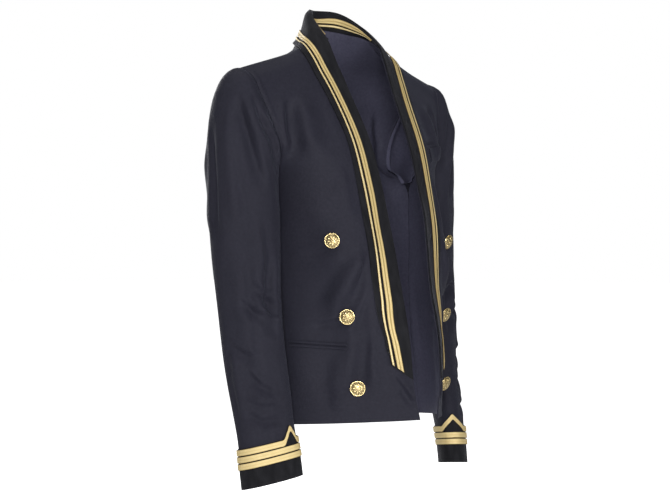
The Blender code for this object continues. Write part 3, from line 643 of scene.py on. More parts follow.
# %% Crossing threads
threads, inside, outside = new_group(
    "crossing_threads",
    [
        ("Vector", "NodeSocketVector", None), ("Pitch", "NodeSocketFloat", 0.001),
        ("Slant", "NodeSocketFloat", 1.0), ("Cross", "NodeSocketFloat", 0.4),
    ],
    ["Height"],
)
split = add_node(threads, "ShaderNodeSeparateXYZ")
threads.links.new(inside.outputs["Vector"], split.inputs[0])
slanted = calculate(threads, "MULTIPLY", split.outputs["Y"], inside.outputs["Slant"])
turns_per_metre = calculate(threads, "DIVIDE", 2 * math.pi, inside.outputs["Pitch"])
ribs = calculate(threads, "ADD", split.outputs["X"], slanted)
ribs = calculate(threads, "SINE", calculate(threads, "MULTIPLY", ribs, turns_per_metre))
gaps = calculate(threads, "SUBTRACT", split.outputs["X"], slanted)
gaps = calculate(threads, "SINE", calculate(threads, "MULTIPLY", gaps, turns_per_metre))
gaps = calculate(threads, "MULTIPLY", gaps, inside.outputs["Cross"])
whole = calculate(threads, "ADD", ribs, gaps)
whole = calculate(threads, "MULTIPLY", calculate(threads, "ADD", whole, 1.5), 1 / 3)
threads.links.new(whole, outside.inputs["Height"])
print("group", threads.name)

# %% Slow unevenness
uneven, inside, outside = new_group(
    "slow_unevenness",
    [
        ("Vector", "NodeSocketVector", None), ("Scale", "NodeSocketFloat", 20.0),
        ("Contrast", "NodeSocketFloat", 2.0),
    ],
    ["Mask"],
)
cloud = add_node(uneven, "ShaderNodeTexNoise")
cloud.inputs["Detail"].default_value = 4.0
uneven.links.new(inside.outputs["Vector"], cloud.inputs["Vector"])
uneven.links.new(inside.outputs["Scale"], cloud.inputs["Scale"])
spread = calculate(uneven, "SUBTRACT", cloud.outputs["Fac"], 0.5)
spread = calculate(uneven, "MULTIPLY", spread, inside.outputs["Contrast"])
spread = calculate(uneven, "ADD", spread, 0.5)
uneven.links.new(calculate(uneven, "MINIMUM", calculate(uneven, "MAXIMUM", spread, 0.0), 1.0),
                 outside.inputs["Mask"])
print("group", uneven.name)


# %% Put a group in a material


def new_material(name, roughness, **constants):
    material = bpy.data.materials.new(name)
    material.use_nodes = True
    shader = material.node_tree.nodes["Principled BSDF"]
    shader.inputs["Roughness"].default_value = roughness
    for socket, value in constants.items():
        shader.inputs[socket.replace("_", " ")].default_value = value
    return material, material.node_tree, shader


def place_group(tree, group, vector, **values):
    node = add_node(tree, "ShaderNodeGroup", node_tree=group)
    tree.links.new(vector, node.inputs["Vector"])
    for label, value in values.items():
        node.inputs[label].default_value = value
    return node.outputs[0]


def thread_map(tree):
    return add_node(tree, "ShaderNodeUVMap", uv_map="thread").outputs["UV"]


def object_map(tree):
    return add_node(tree, "ShaderNodeTexCoord").outputs["Object"]


def add_bump(tree, shader, height, distance, strength=1.0, under=None):
    bump = add_node(tree, "ShaderNodeBump")
    bump.inputs["Distance"].default_value = distance
    bump.inputs["Strength"].default_value = strength
    tree.links.new(height, bump.inputs["Height"])
    if under is not None:
        tree.links.new(under, bump.inputs["Normal"])
    tree.links.new(bump.outputs["Normal"], shader.inputs["Normal"])
    return bump.outputs["Normal"]


# %% [markdown]
# ### Navy wool
#
# Barathea is a close, slightly fuzzy wool: matt, with a cool sheen where it turns away. Its
# threads are half a millimetre apart, so only a faint speckle of them is ever seen. Sheen on the
# shader gives the fuzz, and two clouds of noise keep the colour from lying flat. The lining is a
# smoother twill of the same hue, its colour painted lighter: painted light that makes the shaded
# inside of the open coat look no darker than its outside. The sleeve linings are painted paler still.

# %% Navy wool and its lining, painted lighter


def navy_cloth(name, tone, roughness, sheen, weave_depth):
    """A navy cloth; tone scales its colour beside the wool's, and above one the colour is painted
    light.
    """
    cloth, tree, shader = new_material(
        name, roughness, Sheen_Weight=sheen, Sheen_Roughness=0.35, Specular_IOR_Level=0.12,
    )
    shader.inputs["Sheen Tint"].default_value = (0.62, 0.66, 0.85, 1.0)
    dark, pale, speck = (
        tuple(tone * part for part in colour) + (1.0,)
        for colour in ((0.0118, 0.0115, 0.0184), (0.0150, 0.0147, 0.0230), (0.0226, 0.0222, 0.0328))
    )
    broad_cloud = place_group(tree, uneven, object_map(tree), Scale=9.0, Contrast=1.6)
    fine_cloud = place_group(tree, uneven, object_map(tree), Scale=260.0, Contrast=2.2)
    colour = blend_colours(tree, broad_cloud, dark, pale)
    colour = blend_colours(tree, calculate(tree, "MULTIPLY", fine_cloud, 0.45), colour, speck)
    tree.links.new(colour, shader.inputs["Base Color"])
    weave = place_group(tree, threads, thread_map(tree), Pitch=0.0009, Slant=1.0, Cross=0.4)
    fuzz = calculate(tree, "ADD", calculate(tree, "MULTIPLY", weave, 0.7), fine_cloud)
    add_bump(tree, shader, fuzz, weave_depth, 0.6)
    return cloth


# the wool keeps its own colour; the linings' higher tones are painted light standing in for the shade
# inside the coat and the sleeves
navy_wool = navy_cloth("navy_barathea", 1.0, 0.64, 0.05, 0.00025)
navy_lining = navy_cloth("navy_lining_twill", 3.3, 0.60, 0.04, 0.00012)
sleeve_lining = navy_cloth("sleeve_lining_twill", 6.2, 0.60, 0.04, 0.00012)
print("materials", navy_wool.name, navy_lining.name, sleeve_lining.name)

# %% [markdown]
# ### Black velvet
#
# Velvet is a pile of upright fibres: nearly black face on, and a soft grey where the pile lies
# over or is seen from the side. Brushed patches change its tone, so the noise is stretched along
# the lapel in the way that a hand strokes it.

# %% Black velvet
black_velvet, tree, shader = new_material(
    "black_velvet_pile", 0.85, Sheen_Weight=0.10, Sheen_Roughness=0.35, Specular_IOR_Level=0.12,
)
shader.inputs["Sheen Tint"].default_value = (0.75, 0.75, 0.85, 1.0)
stretch = add_node(tree, "ShaderNodeMapping")
stretch.inputs["Scale"].default_value = (1.0, 0.35, 1.0)
stretch.inputs["Rotation"].default_value = (0.0, 0.0, math.radians(28.0))
tree.links.new(thread_map(tree), stretch.inputs["Vector"])
brushed = place_group(tree, uneven, stretch.outputs["Vector"], Scale=95.0, Contrast=2.6)
pile = place_group(tree, uneven, object_map(tree), Scale=900.0, Contrast=2.0)
colour = blend_colours(tree, brushed, (0.0058, 0.0058, 0.0072, 1.0), (0.0120, 0.0120, 0.0142, 1.0))
tree.links.new(colour, shader.inputs["Base Color"])
rubbed = calculate(tree, "ADD", calculate(tree, "MULTIPLY", brushed, 1.6), pile)
add_bump(tree, shader, rubbed, 0.00035, 0.7)
print("material", black_velvet.name)

# %% [markdown]
# ### Gold lace
#
# The lace is woven from flattened gilt wire over cotton: fine slanting ribs that catch the light
# one by one, painted pale on top and brown-gold between as painted highlight and shade. The same
# crossing threads as in the wool are used, wider. How high a place stands on its rib is kept with
# the piece, and the colour follows it: a painted highlight on the ridges, painted shade in the groove
# between them and at the edges.

# %% Gold lace
gold_lace, tree, shader = new_material("gold_wire_lace", 0.5, Metallic=0.25, Specular_IOR_Level=0.5)
ribs = place_group(tree, threads, thread_map(tree), Pitch=0.0017, Slant=0.75, Cross=0.25)
tarnish = place_group(tree, uneven, object_map(tree), Scale=60.0, Contrast=1.8)
ridge = add_node(tree, "ShaderNodeAttribute", attribute_name="raised").outputs["Fac"]
# painted highlight on the rib tops and on each slanting thread, painted shade in the grooves and at
# the edges
rib_painted_light = calculate(
    tree, "ADD", calculate(tree, "MULTIPLY", ridge, 0.80), calculate(tree, "MULTIPLY", ribs, 0.28)
)
ramp = add_node(tree, "ShaderNodeValToRGB")
for stop, tone in (
    (0.14, (0.11, 0.066, 0.018)), (0.52, (0.40, 0.29, 0.105)), (0.85, (0.65, 0.51, 0.235)),
):
    element = ramp.color_ramp.elements.new(stop)
    element.color = tone + (1.0,)
ramp.color_ramp.elements[0].color = (0.10, 0.06, 0.02, 1.0)
ramp.color_ramp.elements[-1].color = (0.86, 0.76, 0.51, 1.0)
tree.links.new(rib_painted_light, ramp.inputs["Fac"])
colour = blend_colours(
    tree, calculate(tree, "MULTIPLY", tarnish, 0.30), ramp.outputs["Color"], (0.42, 0.30, 0.11, 1.0)
)
tree.links.new(colour, shader.inputs["Base Color"])
add_bump(tree, shader, ribs, 0.0004, 0.8)
print("material", gold_lace.name)

# %% [markdown]
# ### Gilt brass
#
# The buttons are stamped brass with a thin gilding. The raised parts are polished by handling
# and the ground keeps a brown lacquer. Which places are raised is kept with the piece as an
# attribute when it is made, and the colour follows it.

# %% Gilt brass
gilt_brass, tree, shader = new_material("gilded_brass", 0.3, Metallic=1.0)
worn = add_node(tree, "ShaderNodeAttribute", attribute_name="raised")
speckle = place_group(tree, uneven, object_map(tree), Scale=700.0, Contrast=3.0)
deep = calculate(tree, "MULTIPLY", calculate(tree, "SUBTRACT", 1.0, worn.outputs["Fac"]), speckle)
colour = blend_colours(tree, deep, (0.54, 0.43, 0.215, 1.0), (0.115, 0.074, 0.033, 1.0))
tree.links.new(colour, shader.inputs["Base Color"])
tree.links.new(
    calculate(tree, "ADD", 0.24, calculate(tree, "MULTIPLY", deep, 0.4)), shader.inputs["Roughness"]
)
add_bump(tree, shader, speckle, 0.0003, 0.35)
print("material", gilt_brass.name)

# %% [markdown]
# ## Creases
#
# A crease is a bent line on the cloth with a depth and a width. Its section is a soft trough, a
# little steeper on one side, with the pushed-away cloth standing up beside it. On the panels the
# line is given by distance from the middle and height, on a sleeve by turn and height. A slow
# noise adds the rest, since no cloth is even. All of it fades out at the sewn seams, where two
# pieces have to meet, but not at the free edges.

# %% Troughs and ridges
CREASE_STRENGTH = 2.0
ARMHOLE_FOOT, ARMHOLE_TOP = -0.213, -0.050


def line_of(path, places, scale):
    """Distance from a bent line, the side of it, and the share along it, for each place."""
    path = np.array(path, float) * (scale, 1.0)
    places = places * (scale, 1.0)
    best = np.full(len(places), 1e9)
    side = np.zeros(len(places))
    share = np.zeros(len(places))
    steps = np.linalg.norm(np.diff(path, axis=0), axis=1)
    start = 0.0
    for first, second, step in zip(path, path[1:], steps):
        run = (second - first) / step
        from_first = places - first
        along = np.clip(from_first @ run, 0.0, step)
        off = from_first - along[:, None] * run
        distance = np.linalg.norm(off, axis=1)
        nearer = distance < best
        cross = off[:, 0] * run[1] - off[:, 1] * run[0]
        best = np.where(nearer, distance, best)
        side = np.where(nearer, np.sign(cross), side)
        share = np.where(nearer, (start + along) / steps.sum(), share)
        start += step
    return best, side, share


def pressed(places, creases, scale=1.0):
    """Height of all the creases at each place."""
    height = np.zeros(len(places))
    for path, depth, width in creases:
        distance, side, share = line_of(path, places, scale)
        lean = 1.0 + 0.35 * side
        across = distance / (width * lean)
        fade = smooth_step(share / 0.3) * smooth_step((1.0 - share) / 0.3)
        fade = np.maximum(fade, 0.0)
        trough = np.exp(-(across**2))
        shoulder = np.exp(-((across - 1.7) ** 2) * 1.2)
        height += CREASE_STRENGTH * depth * fade * (trough - 0.34 * shoulder)
    return height


def slow_noise(points, size, seed):
    return np.array([
        noise.noise(Vector((p[0] / size + seed, p[1] / size, p[2] / (1.7 * size)))) for p in points
    ])


def edge_distance(grid, sewn):
    """Distance to the nearest sewn edge: first row, last row, first column, last column."""
    rows, columns = grid.shape[:2]
    over, down = lengths_along(grid, 1), lengths_along(grid, 0)
    far = np.full((rows, columns), 1.0)
    if sewn[0]:
        far = np.minimum(far, down)
    if sewn[1]:
        far = np.minimum(far, down[-1:] - down)
    if sewn[2]:
        far = np.minimum(far, over)
    if sewn[3]:
        far = np.minimum(far, over[:, -1:] - over)
    return far


def beside_seam(grid, columns, rise=0.0013):
    """A soft welt that stands up in the panel's cloth where a sleeve is sewn to it."""
    over = lengths_along(grid, 1)
    height = np.zeros(grid.shape[:2])
    for last in columns:
        distance = over[:, -1:] - over if last else over
        seam = grid[:, -1 if last else 0, 2][:, None]
        beside = smooth_step((seam - ARMHOLE_FOOT) / 0.02) * smooth_step((ARMHOLE_TOP - seam) / 0.01)
        height += rise * beside * np.exp(-(((distance - 0.0050) / 0.0032) ** 2))
    return height


print("creases ready")

# %% [markdown]
# ## The fronts
#
# Each front hangs from the shoulder seam and swells over the chest. The cloth is pulled at the
# waist, where the coat would close, so soft diagonals run down from the lapel towards the side,
# and loose cloth gathers beside the sleeve. The lapel covers the first few centimetres, so the
# creases start where it ends.

# %% Creases of the fronts
WOOL = 0.0020

# Bent line (distance from the middle, height), depth out (+) or in (-), half width
RIGHT_FRONT_CREASES = (
    (((0.1521, -0.084), (0.1564, -0.136), (0.150, -0.185)), -0.0034, 0.0085),
    (((0.132, -0.075), (0.136, -0.120), (0.138, -0.180)), 0.0020, 0.0110),
    (((0.0760, -0.300), (0.0929, -0.342), (0.1045, -0.378), (0.1115, -0.425)), -0.0032, 0.0080),
    (((0.0900, -0.300), (0.1080, -0.345), (0.1200, -0.400)), 0.0022, 0.0100),
    (((0.0770, -0.355), (0.0906, -0.399), (0.0980, -0.440)), -0.0024, 0.0070),
    (((0.0903, -0.420), (0.0920, -0.464), (0.0951, -0.510)), -0.0026, 0.0090),
    (((0.0740, -0.400), (0.0780, -0.450), (0.0790, -0.520)), 0.0018, 0.0080),
    (((0.1404, -0.240), (0.1378, -0.335), (0.1363, -0.430)), -0.0030, 0.0110),
    (((0.1460, -0.300), (0.1400, -0.400), (0.1420, -0.540)), 0.0022, 0.0100),
    (((0.0560, -0.480), (0.0420, -0.502), (0.0290, -0.525)), -0.0018, 0.0050),
    (((0.0500, -0.505), (0.0400, -0.522), (0.0320, -0.535)), 0.0014, 0.0045),
    (((0.1180, -0.300), (0.1290, -0.306), (0.1400, -0.318)), -0.0014, 0.0060),
    (((0.1010, -0.404), (0.1174, -0.412), (0.1320, -0.416)), -0.0014, 0.0055),
    (((0.0980, -0.505), (0.1103, -0.510), (0.1290, -0.515)), -0.0012, 0.0055),
    (((0.0950, -0.180), (0.1020, -0.230), (0.1000, -0.280)), 0.0014, 0.0140),
    (((0.1080, -0.450), (0.1130, -0.500), (0.1100, -0.550)), 0.0018, 0.0100),
)
LEFT_FRONT_CREASES = (
    (((0.150, -0.080), (0.157, -0.140), (0.149, -0.190)), -0.0034, 0.0090),
    (((0.130, -0.080), (0.137, -0.130), (0.136, -0.190)), 0.0022, 0.0110),
    (((0.0800, -0.280), (0.0960, -0.330), (0.1080, -0.372), (0.1180, -0.430)), -0.0030, 0.0085),
    (((0.0920, -0.300), (0.1060, -0.340), (0.1240, -0.395)), 0.0022, 0.0100),
    (((0.0800, -0.380), (0.0890, -0.410), (0.0960, -0.450)), -0.0022, 0.0070),
    (((0.0850, -0.430), (0.0890, -0.470), (0.0910, -0.530)), -0.0022, 0.0080),
    (((0.1390, -0.250), (0.1370, -0.340), (0.1380, -0.440)), -0.0028, 0.0110),
    (((0.1450, -0.310), (0.1410, -0.410), (0.1400, -0.545)), 0.0024, 0.0110),
    (((0.0540, -0.470), (0.0450, -0.500), (0.0330, -0.530)), -0.0018, 0.0060),
    (((0.1200, -0.296), (0.1300, -0.300), (0.1400, -0.310)), -0.0012, 0.0060),
    (((0.1400, -0.1425), (0.1000, -0.1478), (0.0600, -0.1535)), -0.0017, 0.0026),
    (((0.1030, -0.400), (0.1180, -0.405), (0.1340, -0.400)), -0.0014, 0.0060),
    (((0.0900, -0.190), (0.0980, -0.240), (0.0960, -0.290)), 0.0015, 0.0140),
)
FRONT_CREASES = {"right": RIGHT_FRONT_CREASES, "left": LEFT_FRONT_CREASES}
LAPEL_WIDTH = 0.0480
LAPEL_END = -0.470
SEAM_FADE = 0.016

# %% Two fronts


def read_net(node, thickness, first, across, centre=BODY_AXIS, inward=False):
    net = net_of(node, wall_of(thickness), centre, inward=inward)
    return laid(net, np.array(first), np.array(across))


NECK_END, SHOULDER_END = (0.0545, -0.010, 0.012), (0.2005, 0.001, -0.0455)
fine_nets = {}
for side in ("right", "left"):
    node = "front_" + side
    net = read_net(node, WOOL, sided(NECK_END, side), sided(SHOULDER_END, side))
    grid = finer(net, 0.0026, 0.0022)
    out = out_of(grid, BODY_AXIS)
    flat = grid.reshape(-1, 3)
    places = np.stack([np.abs(flat[:, 0]), flat[:, 2]], axis=1)
    height = pressed(places, FRONT_CREASES[side])
    height += 0.0011 * slow_noise(flat, 0.050, 3.0 if side == "right" else 8.0)
    height = height.reshape(grid.shape[:2])
    over = lengths_along(grid, 1)
    off_lapel = smooth_step((over - LAPEL_WIDTH) / 0.014)
    under_lapel = 1.0 - smooth_step((LAPEL_END - grid[..., 2]) / 0.020)
    height *= 1.0 - under_lapel * (1.0 - off_lapel)
    seams = edge_distance(grid, (True, False, False, True))
    height *= smooth_step(seams / SEAM_FADE)
    height += beside_seam(grid, (True,))
    edge = edge_distance(grid, (False, True, True, False))
    height -= 0.0003 * smooth_step((edge - 0.005) / 0.002) * (1.0 - under_lapel)
    fine_nets[node] = (grid, out, height)
    cloth = grid + out * height[..., None]
    dress(node, "cloth", cloth, out, WOOL, navy_wool, "navy_wool", lining=navy_lining)

# %% [markdown]
# ## The back
#
# The back is one piece, smooth across the shoulder blades and drawn in at the waist. Loose cloth
# hangs in two long folds from the blades and a few short ones lie above the hem.

# %% Back
BACK_CREASES = (
    (((0.1350, -0.080), (0.1480, -0.140), (0.1380, -0.230)), -0.0036, 0.0100),
    (((-0.1320, -0.085), (-0.1460, -0.150), (-0.1400, -0.240)), -0.0034, 0.0105),
    (((0.1180, -0.100), (0.1260, -0.170), (0.1220, -0.260)), 0.0024, 0.0120),
    (((-0.1160, -0.110), (-0.1240, -0.180), (-0.1180, -0.250)), 0.0024, 0.0120),
    (((0.0300, -0.300), (0.0420, -0.380), (0.0560, -0.500), (0.0600, -0.556)), 0.0034, 0.0150),
    (((-0.0360, -0.310), (-0.0470, -0.400), (-0.0540, -0.500), (-0.0560, -0.556)), 0.0032, 0.0150),
    (((0.0050, -0.330), (0.0020, -0.430), (0.0100, -0.540)), -0.0026, 0.0140),
    (((0.0950, -0.290), (0.0880, -0.380), (0.0900, -0.500)), -0.0030, 0.0130),
    (((-0.0900, -0.280), (-0.0840, -0.390), (-0.0880, -0.500)), -0.0030, 0.0130),
    (((0.1220, -0.330), (0.1150, -0.420), (0.1180, -0.545)), 0.0026, 0.0120),
    (((-0.1200, -0.320), (-0.1130, -0.420), (-0.1200, -0.550)), 0.0026, 0.0120),
    (((0.0700, -0.345), (0.0350, -0.356), (0.0050, -0.350)), -0.0008, 0.0080),
    (((-0.0750, -0.362), (-0.0400, -0.372), (-0.0120, -0.366)), -0.0008, 0.0080),
    (
        ((0.0600, -0.060), (0.0350, -0.052), (0.0, -0.050), (-0.0350, -0.052), (-0.0600, -0.060)),
        0.0012, 0.0070,
    ),
)
net = read_net("back", WOOL, (-0.2005, 0.002, -0.0455), (0.2005, 0.002, -0.0455))
grid = finer(net, 0.0030, 0.0028)
out = out_of(grid, BODY_AXIS)
flat = grid.reshape(-1, 3)
height = pressed(flat[:, ::2], BACK_CREASES) + 0.0012 * slow_noise(flat, 0.055, 15.0)
seams = edge_distance(grid, (True, False, True, True))
height = height.reshape(grid.shape[:2]) * smooth_step(seams / SEAM_FADE)
height += beside_seam(grid, (False, True))
fine_nets["back"] = (grid, out, height)
cloth = grid + out * height[..., None]
dress("back", "cloth", cloth, out, WOOL, navy_wool, "navy_wool", lining=navy_lining)

# %% [markdown]
# ## The sleeves
#
# A two-piece sleeve is cut to the bend of the arm. The head is full, so it stands up a little
# beyond the armhole seam before it falls. A long trough runs from the armhole down the front, the
# inside of the elbow breaks into short slanting folds, and the back seam shows as a fine line.

# %% Creases of the sleeves
RIGHT_SLEEVE_CREASES = (
    (((28.0, -0.080), (50.0, -0.130), (70.0, -0.179), (90.0, -0.230)), -0.0040, 0.0090),
    (((50.0, -0.080), (75.0, -0.130), (95.0, -0.175)), 0.0026, 0.0080),
    (((70.0, -0.105), (110.0, -0.150), (128.0, -0.200)), -0.0030, 0.0075),
    (((5.0, -0.100), (22.0, -0.190), (40.0, -0.290)), 0.0026, 0.0120),
    (((-30.0, -0.120), (-20.0, -0.200), (-15.0, -0.300)), -0.0028, 0.0120),
    (((-60.0, -0.150), (-70.0, -0.230), (-60.0, -0.300)), 0.0024, 0.0120),
    (((50.0, -0.352), (84.0, -0.374), (120.0, -0.392)), -0.0030, 0.0070),
    (((16.0, -0.374), (50.0, -0.394), (92.0, -0.406)), -0.0026, 0.0070),
    (((60.0, -0.385), (95.0, -0.402), (130.0, -0.410)), 0.0018, 0.0070),
    (((100.0, -0.300), (96.0, -0.360), (104.0, -0.440)), -0.0026, 0.0100),
    (((70.0, -0.250), (80.0, -0.330), (74.0, -0.420)), 0.0022, 0.0110),
    (((12.0, -0.480), (52.0, -0.500), (100.0, -0.512)), -0.0022, 0.0075),
    (((-20.0, -0.440), (20.0, -0.456), (60.0, -0.462)), -0.0020, 0.0080),
    (((-15.0, -0.535), (42.0, -0.550), (110.0, -0.545)), -0.0018, 0.0060),
    (((-10.0, -0.515), (42.0, -0.530), (100.0, -0.530)), 0.0016, 0.0060),
    (((-120.0, -0.330), (-90.0, -0.372), (-50.0, -0.392)), -0.0024, 0.0080),
    (((-140.0, -0.400), (-100.0, -0.424), (-60.0, -0.430)), -0.0022, 0.0080),
    (((30.0, -0.300), (34.0, -0.400), (44.0, -0.500)), 0.0016, 0.0130),
    (((-10.0, -0.560), (-12.0, -0.490), (0.0, -0.430)), 0.0018, 0.0100),
)
LEFT_SLEEVE_CREASES = (
    (((34.0, -0.085), (58.0, -0.135), (76.0, -0.190), (88.0, -0.245)), -0.0036, 0.0090),
    (((60.0, -0.090), (84.0, -0.140), (100.0, -0.190)), 0.0026, 0.0080),
    (((10.0, -0.110), (18.0, -0.200), (30.0, -0.300)), 0.0026, 0.0120),
    (((-26.0, -0.130), (-24.0, -0.220), (-18.0, -0.310)), -0.0028, 0.0120),
    (((-64.0, -0.140), (-72.0, -0.220), (-66.0, -0.310)), 0.0024, 0.0120),
    (((46.0, -0.345), (80.0, -0.364), (118.0, -0.380)), -0.0028, 0.0070),
    (((20.0, -0.385), (56.0, -0.400), (96.0, -0.414)), -0.0026, 0.0075),
    (((108.0, -0.310), (100.0, -0.370), (106.0, -0.450)), -0.0026, 0.0100),
    (((20.0, -0.490), (60.0, -0.504), (104.0, -0.520)), -0.0022, 0.0075),
    (((-15.0, -0.450), (25.0, -0.462), (66.0, -0.470)), -0.0020, 0.0080),
    (((-10.0, -0.530), (46.0, -0.546), (112.0, -0.550)), -0.0018, 0.0065),
    (((-124.0, -0.340), (-92.0, -0.380), (-54.0, -0.398)), -0.0024, 0.0080),
    (((26.0, -0.310), (30.0, -0.410), (40.0, -0.510)), 0.0016, 0.0130),
)
SLEEVE_CREASES = {"right": RIGHT_SLEEVE_CREASES, "left": LEFT_SLEEVE_CREASES}
SLEEVE_RADIUS = 0.045


def sleeve_axis(side, height):
    """Middle of the sleeve at each height."""
    x = np.interp(-height, (0.05, 0.25, 0.635), (0.1960, 0.1985, 0.1955))
    bend = (0.05, 0.25, 0.435, 0.520, 0.635)
    y = np.interp(-height, bend, (-0.002, -0.003, -0.021, -0.038, -0.059))
    return np.stack([x if side == "left" else -x, y, height], axis=-1)


def sleeve_turn(side, points):
    """Turn round the sleeve in degrees: 0 away from the body, 90 in front."""
    away = points - sleeve_axis(side, points[..., 2])
    outward = away[..., 0] * (1.0 if side == "left" else -1.0)
    return np.degrees(np.arctan2(-away[..., 1], outward))


# %% Meet the armhole
SLEEVE_FADE = 0.030
TURNED_IN = 0.0040


def armhole_edge(side):
    """Close-set places along the body's armhole, where its cloth faces, and where it lies."""
    runs = []
    back_columns = (0, 4) if side == "right" else (-1, -5)
    for node, column, inwards in (("front_" + side, -1, -5), ("back", *back_columns)):
        grid, out, _ = fine_nets[node]
        upper = grid[:, column, 2] > ARMHOLE_FOOT
        edge, facing = grid[upper, column], out[upper, column]
        body = unit(grid[upper, inwards] - edge)
        run = np.concatenate([edge, facing, body], axis=1)
        share = np.linspace(0.0, len(run) - 1.0, 8 * len(run))
        runs.append(np.stack([np.interp(share, np.arange(len(run)), part) for part in run.T], axis=1))
    run = np.concatenate(runs)
    return run[:, :3], unit(run[:, 3:6]), unit(run[:, 6:])


def meet_armhole(grid, side):
    """Bring a sleeve's first row onto the armhole, and make the two rows of its turned-in edge."""
    edge, facing, body = armhole_edge(side)
    nearest = [np.linalg.norm(edge - place, axis=1).argmin() for place in grid[0]]
    edge, facing, body = edge[nearest], facing[nearest], body[nearest]
    shift = edge - 0.0004 * facing - 0.0003 * body - grid[0]
    fade = 1.0 - smooth_step(lengths_along(grid, 0) / SLEEVE_FADE)
    deep_row = edge + TURNED_IN * body - 0.0032 * facing
    edge_row = edge - 0.0028 * facing - 0.0003 * body
    tucked = np.stack([deep_row, edge_row])
    return grid + shift[None] * fade[..., None], tucked


# %% Four sleeve pieces
SLEEVE_TOPS = {
    "top": ((0.197, 0.029, -0.063), (0.161, -0.033, -0.178)),
    "under": ((0.161, -0.033, -0.178), (0.198, 0.027, -0.065)),
}
for side in ("right", "left"):
    for half, (first, across) in SLEEVE_TOPS.items():
        node = f"sleeve_{half}_{side}"
        middle = sleeve_axis(side, np.array(node_middle(node)[2]))
        net = read_net(node, WOOL, sided(first, side), sided(across, side), middle)
        grid, tucked = meet_armhole(finer(net, 0.0028, 0.0024), side)
        out = out_of(grid, sleeve_axis(side, grid[..., 2]))
        turn = sleeve_turn(side, grid)
        places = np.stack([turn.reshape(-1), grid[..., 2].reshape(-1)], axis=1)
        degree = math.radians(1.0) * SLEEVE_RADIUS
        height = pressed(places, SLEEVE_CREASES[side], degree)
        height += 0.0011 * slow_noise(grid.reshape(-1, 3), 0.045, 21.0 if side == "right" else 27.0)
        height = height.reshape(grid.shape[:2])
        height *= smooth_step(edge_distance(grid, (True, False, True, True)) / 0.014)
        height *= smooth_step((grid[..., 2] + 0.575) / 0.020) * 0.9 + 0.1
        down = lengths_along(grid, 0)
        head = np.clip(np.cos(np.radians(turn)) * 1.3 + 0.35, 0.0, 1.0)
        height += 0.0018 * head * np.exp(-(((down - 0.010) / 0.008) ** 2))
        shown = grid + out * height[..., None]
        cloth = np.concatenate([tucked, shown])
        facing = np.concatenate([out[:1], out[:1], out])
        # the sleeve's inside is the lining painted paler still: painted light in place of the shade
        # in the armhole
        dress(node, "cloth", cloth, facing, WOOL, navy_wool, "navy_wool", shown, lining=sleeve_lining)

# %% [markdown]
# ## The shawl collar
#
# The collar is one leaf of velvet on each side, joined at the centre back. It stands up from the
# neck seam, rolls over and falls, and runs on down the front as the lapel, which ends in a slant.
# The leaf is a piece of its own that lies on the coat, with two rows of gold lace sewn on near
# its outer edge. The lace keeps its own thickness: the narrow one is a single rib, the wide one
# two ribs with a groove between them.

# %% Velvet leaves
VELVET = 0.0018
VELVET_CREASES = {
    "right": (
        (((0.010, -0.060), (0.034, -0.075)), -0.0006, 0.0030),
        (((0.012, -0.240), (0.036, -0.225)), -0.0005, 0.0035),
    ),
    "left": (
        (((0.006, -0.120), (0.030, -0.100)), -0.0007, 0.0028),
        (((0.005, -0.142), (0.031, -0.122)), 0.0007, 0.0028),
        (((0.006, -0.165), (0.030, -0.146)), -0.0007, 0.0028),
        (((0.005, -0.190), (0.030, -0.170)), 0.0006, 0.0030),
        (((0.006, -0.214), (0.028, -0.196)), -0.0006, 0.0028),
        (((0.005, -0.300), (0.030, -0.280)), -0.0005, 0.0040),
    ),
}
LEAF_ENDS = ((0.001, 0.049, 0.057), (0.001, 0.074, 0.002))
for side in ("right", "left"):
    node = "shawl_" + side
    net = read_net(node, VELVET, *(sided(place, side) for place in LEAF_ENDS))
    grid = finer(net, 0.0028, 0.0016)
    out = out_of(grid, BODY_AXIS)
    over = lengths_along(grid, 1)
    places = np.stack([over.reshape(-1), grid[..., 2].reshape(-1)], axis=1)
    height = pressed(places, VELVET_CREASES[side]).reshape(grid.shape[:2])
    height += 0.0004 * slow_noise(grid.reshape(-1, 3), 0.030, 33.0).reshape(grid.shape[:2])
    height *= smooth_step((over[:, -1:] - over - 0.024) / 0.006)
    grid[0, :, 0] = sided((-0.0004, 0.0, 0.0), side)[0]
    leaf = grid + out * height[..., None]
    dress(node, "velvet", leaf, out, VELVET, black_velvet, "black_velvet", rim=0.4)

# %% Lace profiles
LACE = 0.0009


def single_rib(share):
    """A lone rib, the palest of the laces; its colour is a painted highlight on top and painted shade
    towards its edges.
    """
    ridge = np.sin(np.pi * share) ** 0.5
    return 0.00035 * ridge, ridge


def double_rib(share):
    """Two ribs with a groove between them; the colour is a painted highlight on the ribs and painted
    shade in the groove and at the edges.
    """
    ridge = np.abs(np.sin(2.0 * np.pi * share)) ** 0.6
    return 0.00050 * ridge, 0.86 * ridge


def flat_rib(share):
    """The flatter lace of a cuff, beaten down by wear, with a faint groove along its middle; its
    colour is painted shade in that groove and at the edges.
    """
    line = 0.16 * np.exp(-(((share - 0.5) / 0.05) ** 2))
    ridge = np.clip(np.sin(np.pi * share) * 4.0, 0.0, 1.0) * (1.0 - line)
    return 0.00015 * ridge, 0.84 * ridge


